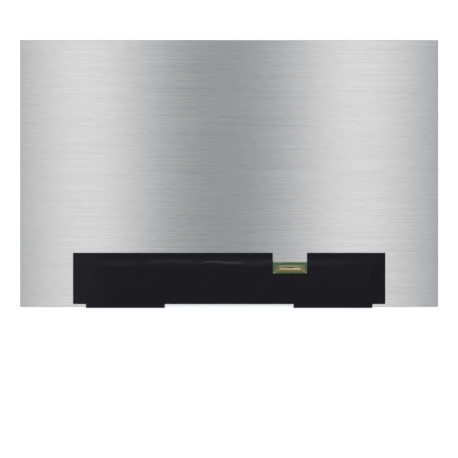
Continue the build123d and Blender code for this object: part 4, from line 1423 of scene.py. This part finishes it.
    def strips(
        self, name: str, paths: list[np.ndarray], width: float | np.ndarray, lift: float,
        material: bpy.types.Material,
    ) -> bpy.types.Object:
        """Flat strips of even width along paths.

        Each point gives two edge points, half a width to each side along the mitre, which is the sum
        of the two runs' unit normals over one plus their product.

        Args:
            name: Name of the piece.
            paths: Paths (u, v), in millimetres.
            width: Width in millimetres, one for all or one for each strip.
            lift: Height over the board, in millimetres.
            material: What the strips are made of.

        Returns:
            The piece.
        """
        points, faces, start = [], [], 0
        for path, across in zip(paths, np.broadcast_to(width, len(paths))):
            run = np.diff(path, axis=0)
            run = run / np.linalg.norm(run, axis=1, keepdims=True)
            normal = np.stack([-run[:, 1], run[:, 0]], axis=-1)
            first = np.concatenate([normal[:1], normal])
            second = np.concatenate([normal, normal[-1:]])
            mitre = (first + second) / (1 + np.sum(first * second, axis=1, keepdims=True))
            edges = np.stack([path + mitre * across / 2, path - mitre * across / 2], axis=1)
            points.append(edges.reshape(-1, 2))
            faces.append(grid_quads(len(path), 2)[:, ::-1] + start)
            start += 2 * len(path)
        mesh = mesh_of(name, on_board(np.concatenate(points), lift), np.concatenate(faces))
        piece = place_piece(mesh, material)
        thicken(piece, lift, -1.0)
        return piece


# Socket
@dataclass(frozen=True)
class Lump:
    """One lump of solder: its middle (u, v), half its width and depth, and its height, in millimetres."""

    u: float
    v: float
    half_width: float
    half_depth: float
    height: float


@dataclass(frozen=True)
class Socket:
    """Edge socket with its solder. Lengths are in millimetres.

    The bright lumps are on the two tails, behind the left leg and in the right leg's hole. The dull ones
    cover the left leg and run round the outer end of the right one.
    """

    contacts: int = 30
    pitch: float = 0.5
    bead: Lump = Lump(0.0, 0.28, 0.165, 0.30, 0.175)
    unevenness: float = 0.10
    bead_turn: float = 2.4
    bright_lumps: tuple[Lump, ...] = (
        Lump(-8.13, 0.36, 0.33, 0.36, 0.26),
        Lump(8.13, 0.36, 0.33, 0.36, 0.26),
        Lump(-10.62, 2.66, 0.42, 0.24, 0.36),
        Lump(10.42, 3.52, 0.30, 0.33, 0.24),
    )
    dull_lumps: tuple[Lump, ...] = (
        Lump(-10.38, 3.55, 0.40, 0.76, 0.42),
        Lump(-10.84, 3.42, 0.23, 0.80, 0.26),
        Lump(10.86, 3.46, 0.20, 0.92, 0.22),
        Lump(10.66, 2.68, 0.36, 0.14, 0.12),
    )
    corner_power: float = 3.0
    nodes: tuple[str, ...] = ("connector_housing", "connector_shell", "connector_contacts", "solder_lands")

    def dress(self, palette: Palette) -> None:
        """Give the socket's solids their finishes."""
        dress_nodes(palette, self.nodes)

    def build(self, palette: Palette) -> None:
        """Make the beads of solder on the contacts, and the lumps on the tails and the legs.

        Args:
            palette: The finishes.
        """
        bright = palette.extra("solder", palette.SOLDER)
        self.solder("contact_solder", self.beads(), bright)
        self.solder("hold_down_solder", self.bright_lumps, bright)
        self.solder("leg_solder", self.dull_lumps, palette.of_slot(Slot.TINNED_LAND))

    def beads(self) -> tuple[Lump, ...]:
        """One bead for each contact, with lengths and heights that vary a little along the row.

        Returns:
            The beads.
        """
        places = (np.arange(self.contacts) - (self.contacts - 1) / 2) * self.pitch
        shares = 1 + self.unevenness * np.sin(np.arange(self.contacts) * self.bead_turn)
        return tuple(
            replace(self.bead, u=u, half_depth=self.bead.half_depth * share, height=self.bead.height * share)
            for u, share in zip(places, shares)
        )

    def solder(self, name: str, lumps: tuple[Lump, ...], material: bpy.types.Material) -> bpy.types.Object:
        """One piece of all the lumps."""
        table = np.array([astuple(lump) for lump in lumps])
        return mounds(name, table[:, :2], table[:, 2:], self.corner_power, material)


# Studio
@dataclass(frozen=True)
class Softbox:
    """Rectangular lamp that faces a point on the panel. Metres."""

    name: str
    place: tuple[float, float, float]
    target: tuple[float, float, float]
    size: tuple[float, float]
    radiance: float
    colour: tuple[float, float, float] = (1.0, 1.0, 1.0)

    def build(self) -> None:
        """Add the lamp. Its power is its radiance times pi times its area."""
        data = bpy.data.lights.new(self.name, "AREA")
        data.shape = "RECTANGLE"
        data.size, data.size_y = self.size
        data.color = self.colour
        data.energy = self.radiance * math.pi * self.size[0] * self.size[1]
        lamp = bpy.data.objects.new(self.name, data)
        lamp.location = self.place
        aim = Vector(self.target) - Vector(self.place)
        lamp.rotation_euler = aim.to_track_quat("-Z", "Y").to_euler()
        bpy.context.scene.collection.objects.link(lamp)


@dataclass(frozen=True)
class Studio:
    """White cove, soft lamps and a camera that looks straight down on the panel. Metres."""

    lens: float = 85.0
    sensor: float = 36.0
    view_width: float = 0.33623
    view_x: float = -0.00011
    view_y: float = -0.04083
    sky: float = 0.15
    sky_colour: Colour = (0.74, 0.97, 1.36, 1.0)
    floor_core: tuple[float, float] = (1e-4, 0.5)
    floor_radius: float = 2.6
    floor_sides: int = 96
    cove_steps: int = 16
    cove_radius: float = 0.9
    wall_height: float = 1.6
    floor_drop: float = 0.00005
    floor_white: float = 0.55
    floor_glow: float = 0.62
    lamps: tuple[Softbox, ...] = (
        Softbox(
            "left_strip", (-0.236, -0.08, 0.90), (-0.236, -0.08, 0.0), (0.16, 2.6), 3.3, (1.03, 1.0, 0.965)
        ),
        Softbox(
            "right_strip", (0.214, -0.08, 0.90), (0.214, -0.08, 0.0), (0.16, 2.6), 3.3, (1.03, 1.0, 0.965)
        ),
        Softbox("rear_softbox", (0.0, 2.00, 2.10), (0.0, -0.05, 0.0), (3.0, 1.15), 1.6),
        Softbox("left_softbox", (-1.30, -0.05, 0.70), (0.0, -0.05, 0.0), (1.0, 1.6), 1.2),
        Softbox("right_softbox", (1.30, -0.05, 0.70), (0.0, -0.05, 0.0), (1.0, 1.6), 1.2),
    )

    def build(self) -> None:
        """Set up the cove, the lamps, the sky, the camera and the view."""
        self.floor()
        for lamp in self.lamps:
            lamp.build()
        world = bpy.data.worlds.new("sky")
        bpy.context.scene.world = world
        world.use_nodes = True
        background = world.node_tree.nodes["Background"]
        background.inputs["Color"].default_value = self.sky_colour
        background.inputs["Strength"].default_value = self.sky
        self.camera()
        bpy.context.scene.view_settings.view_transform = "Standard"

    def camera(self) -> None:
        """Camera over the panel's back, as high as makes the view as wide as the photograph's."""
        data = bpy.data.cameras.new("camera")
        data.lens = self.lens
        data.sensor_width = self.sensor
        camera = bpy.data.objects.new("camera", data)
        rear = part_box("rear_plate")[1].z
        camera.location = (self.view_x, self.view_y, rear + self.view_width * self.lens / self.sensor)
        bpy.context.scene.collection.objects.link(camera)
        bpy.context.scene.camera = camera

    def floor(self) -> None:
        """Round floor that curves up into a wall.

        Its profile is flat, then a quarter circle of the cove's radius, then upright. A point is the
        profile's radius times (cos a, sin a) at the profile's height.
        """
        turn = np.linspace(0, math.pi / 2, self.cove_steps)
        reach = np.concatenate([self.floor_core, self.floor_radius + self.cove_radius * np.sin(turn)])
        rise = np.concatenate([[0, 0], self.cove_radius * (1 - np.cos(turn))])
        reach = np.append(reach, reach[-1])
        rise = np.append(rise, self.wall_height) - self.floor_drop
        angle = np.linspace(0, 2 * math.pi, self.floor_sides, endpoint=False)
        x = reach[:, None] * np.cos(angle)
        y = reach[:, None] * np.sin(angle)
        z = np.broadcast_to(rise[:, None], x.shape)
        points = np.stack([x, y, z], axis=-1).reshape(-1, 3)
        mesh = mesh_of("floor", points, grid_quads(len(reach), len(angle), wrapped=True)[:, ::-1])
        mesh.materials.append(self.floor_material())
        floor = bpy.data.objects.new("floor", mesh)
        bpy.context.scene.collection.objects.link(floor)

    def floor_material(self) -> bpy.types.Material:
        """White floor that takes shadows, glows to white for the eye and is open from below.

        Returns:
            The material.
        """
        made = bpy.data.materials.new("floor")
        made.use_nodes = True
        graph = Graph(made.node_tree)
        rays = graph.node("ShaderNodeLightPath", {}, {}).outputs
        seen = Number(graph, rays["Is Camera Ray"]).larger(Number(graph, rays["Is Glossy Ray"]))
        seen = seen.larger(Number(graph, rays["Is Transmission Ray"]))
        white = (self.floor_white, self.floor_white, self.floor_white, 1.0)
        paint = graph.node("ShaderNodeBsdfDiffuse", {}, {"Color": white})
        glow = graph.node("ShaderNodeEmission", {}, {"Strength": self.floor_glow * seen})
        lit = graph.node("ShaderNodeAddShader", {}, {0: paint.outputs[0], 1: glow.outputs[0]})
        clear = graph.node("ShaderNodeBsdfTransparent", {}, {})
        behind = graph.node("ShaderNodeNewGeometry", {}, {}).outputs["Backfacing"]
        mixed = graph.node("ShaderNodeMixShader", {}, {0: behind, 1: lit.outputs[0], 2: clear.outputs[0]})
        graph.node("ShaderNodeOutputMaterial", {}, {"Surface": mixed.outputs[0]})
        return made


def main() -> None:
    """Build the panel's pieces in order, dress its solids and set up the studio."""
    logging.basicConfig(level=logging.INFO, format="%(name)s: %(message)s")
    palette = Palette()
    Layers((
        "front_polariser", "colour_filter_glass", "array_glass", "rear_polariser", "rim_tape",
        "upper_prism_sheet", "lower_prism_sheet", "diffuser_sheet", "light_guide", "reflector_sheet",
        "led_packages", "mould_frame", "rear_plate",
    )).dress(palette)
    board = BoardFace()
    board.dress(palette)
    board.build(palette)
    socket = Socket()
    socket.dress(palette)
    socket.build(palette)
    CoverFilm().build(palette)
    Studio().build()


if __name__ == "__main__":
    main()
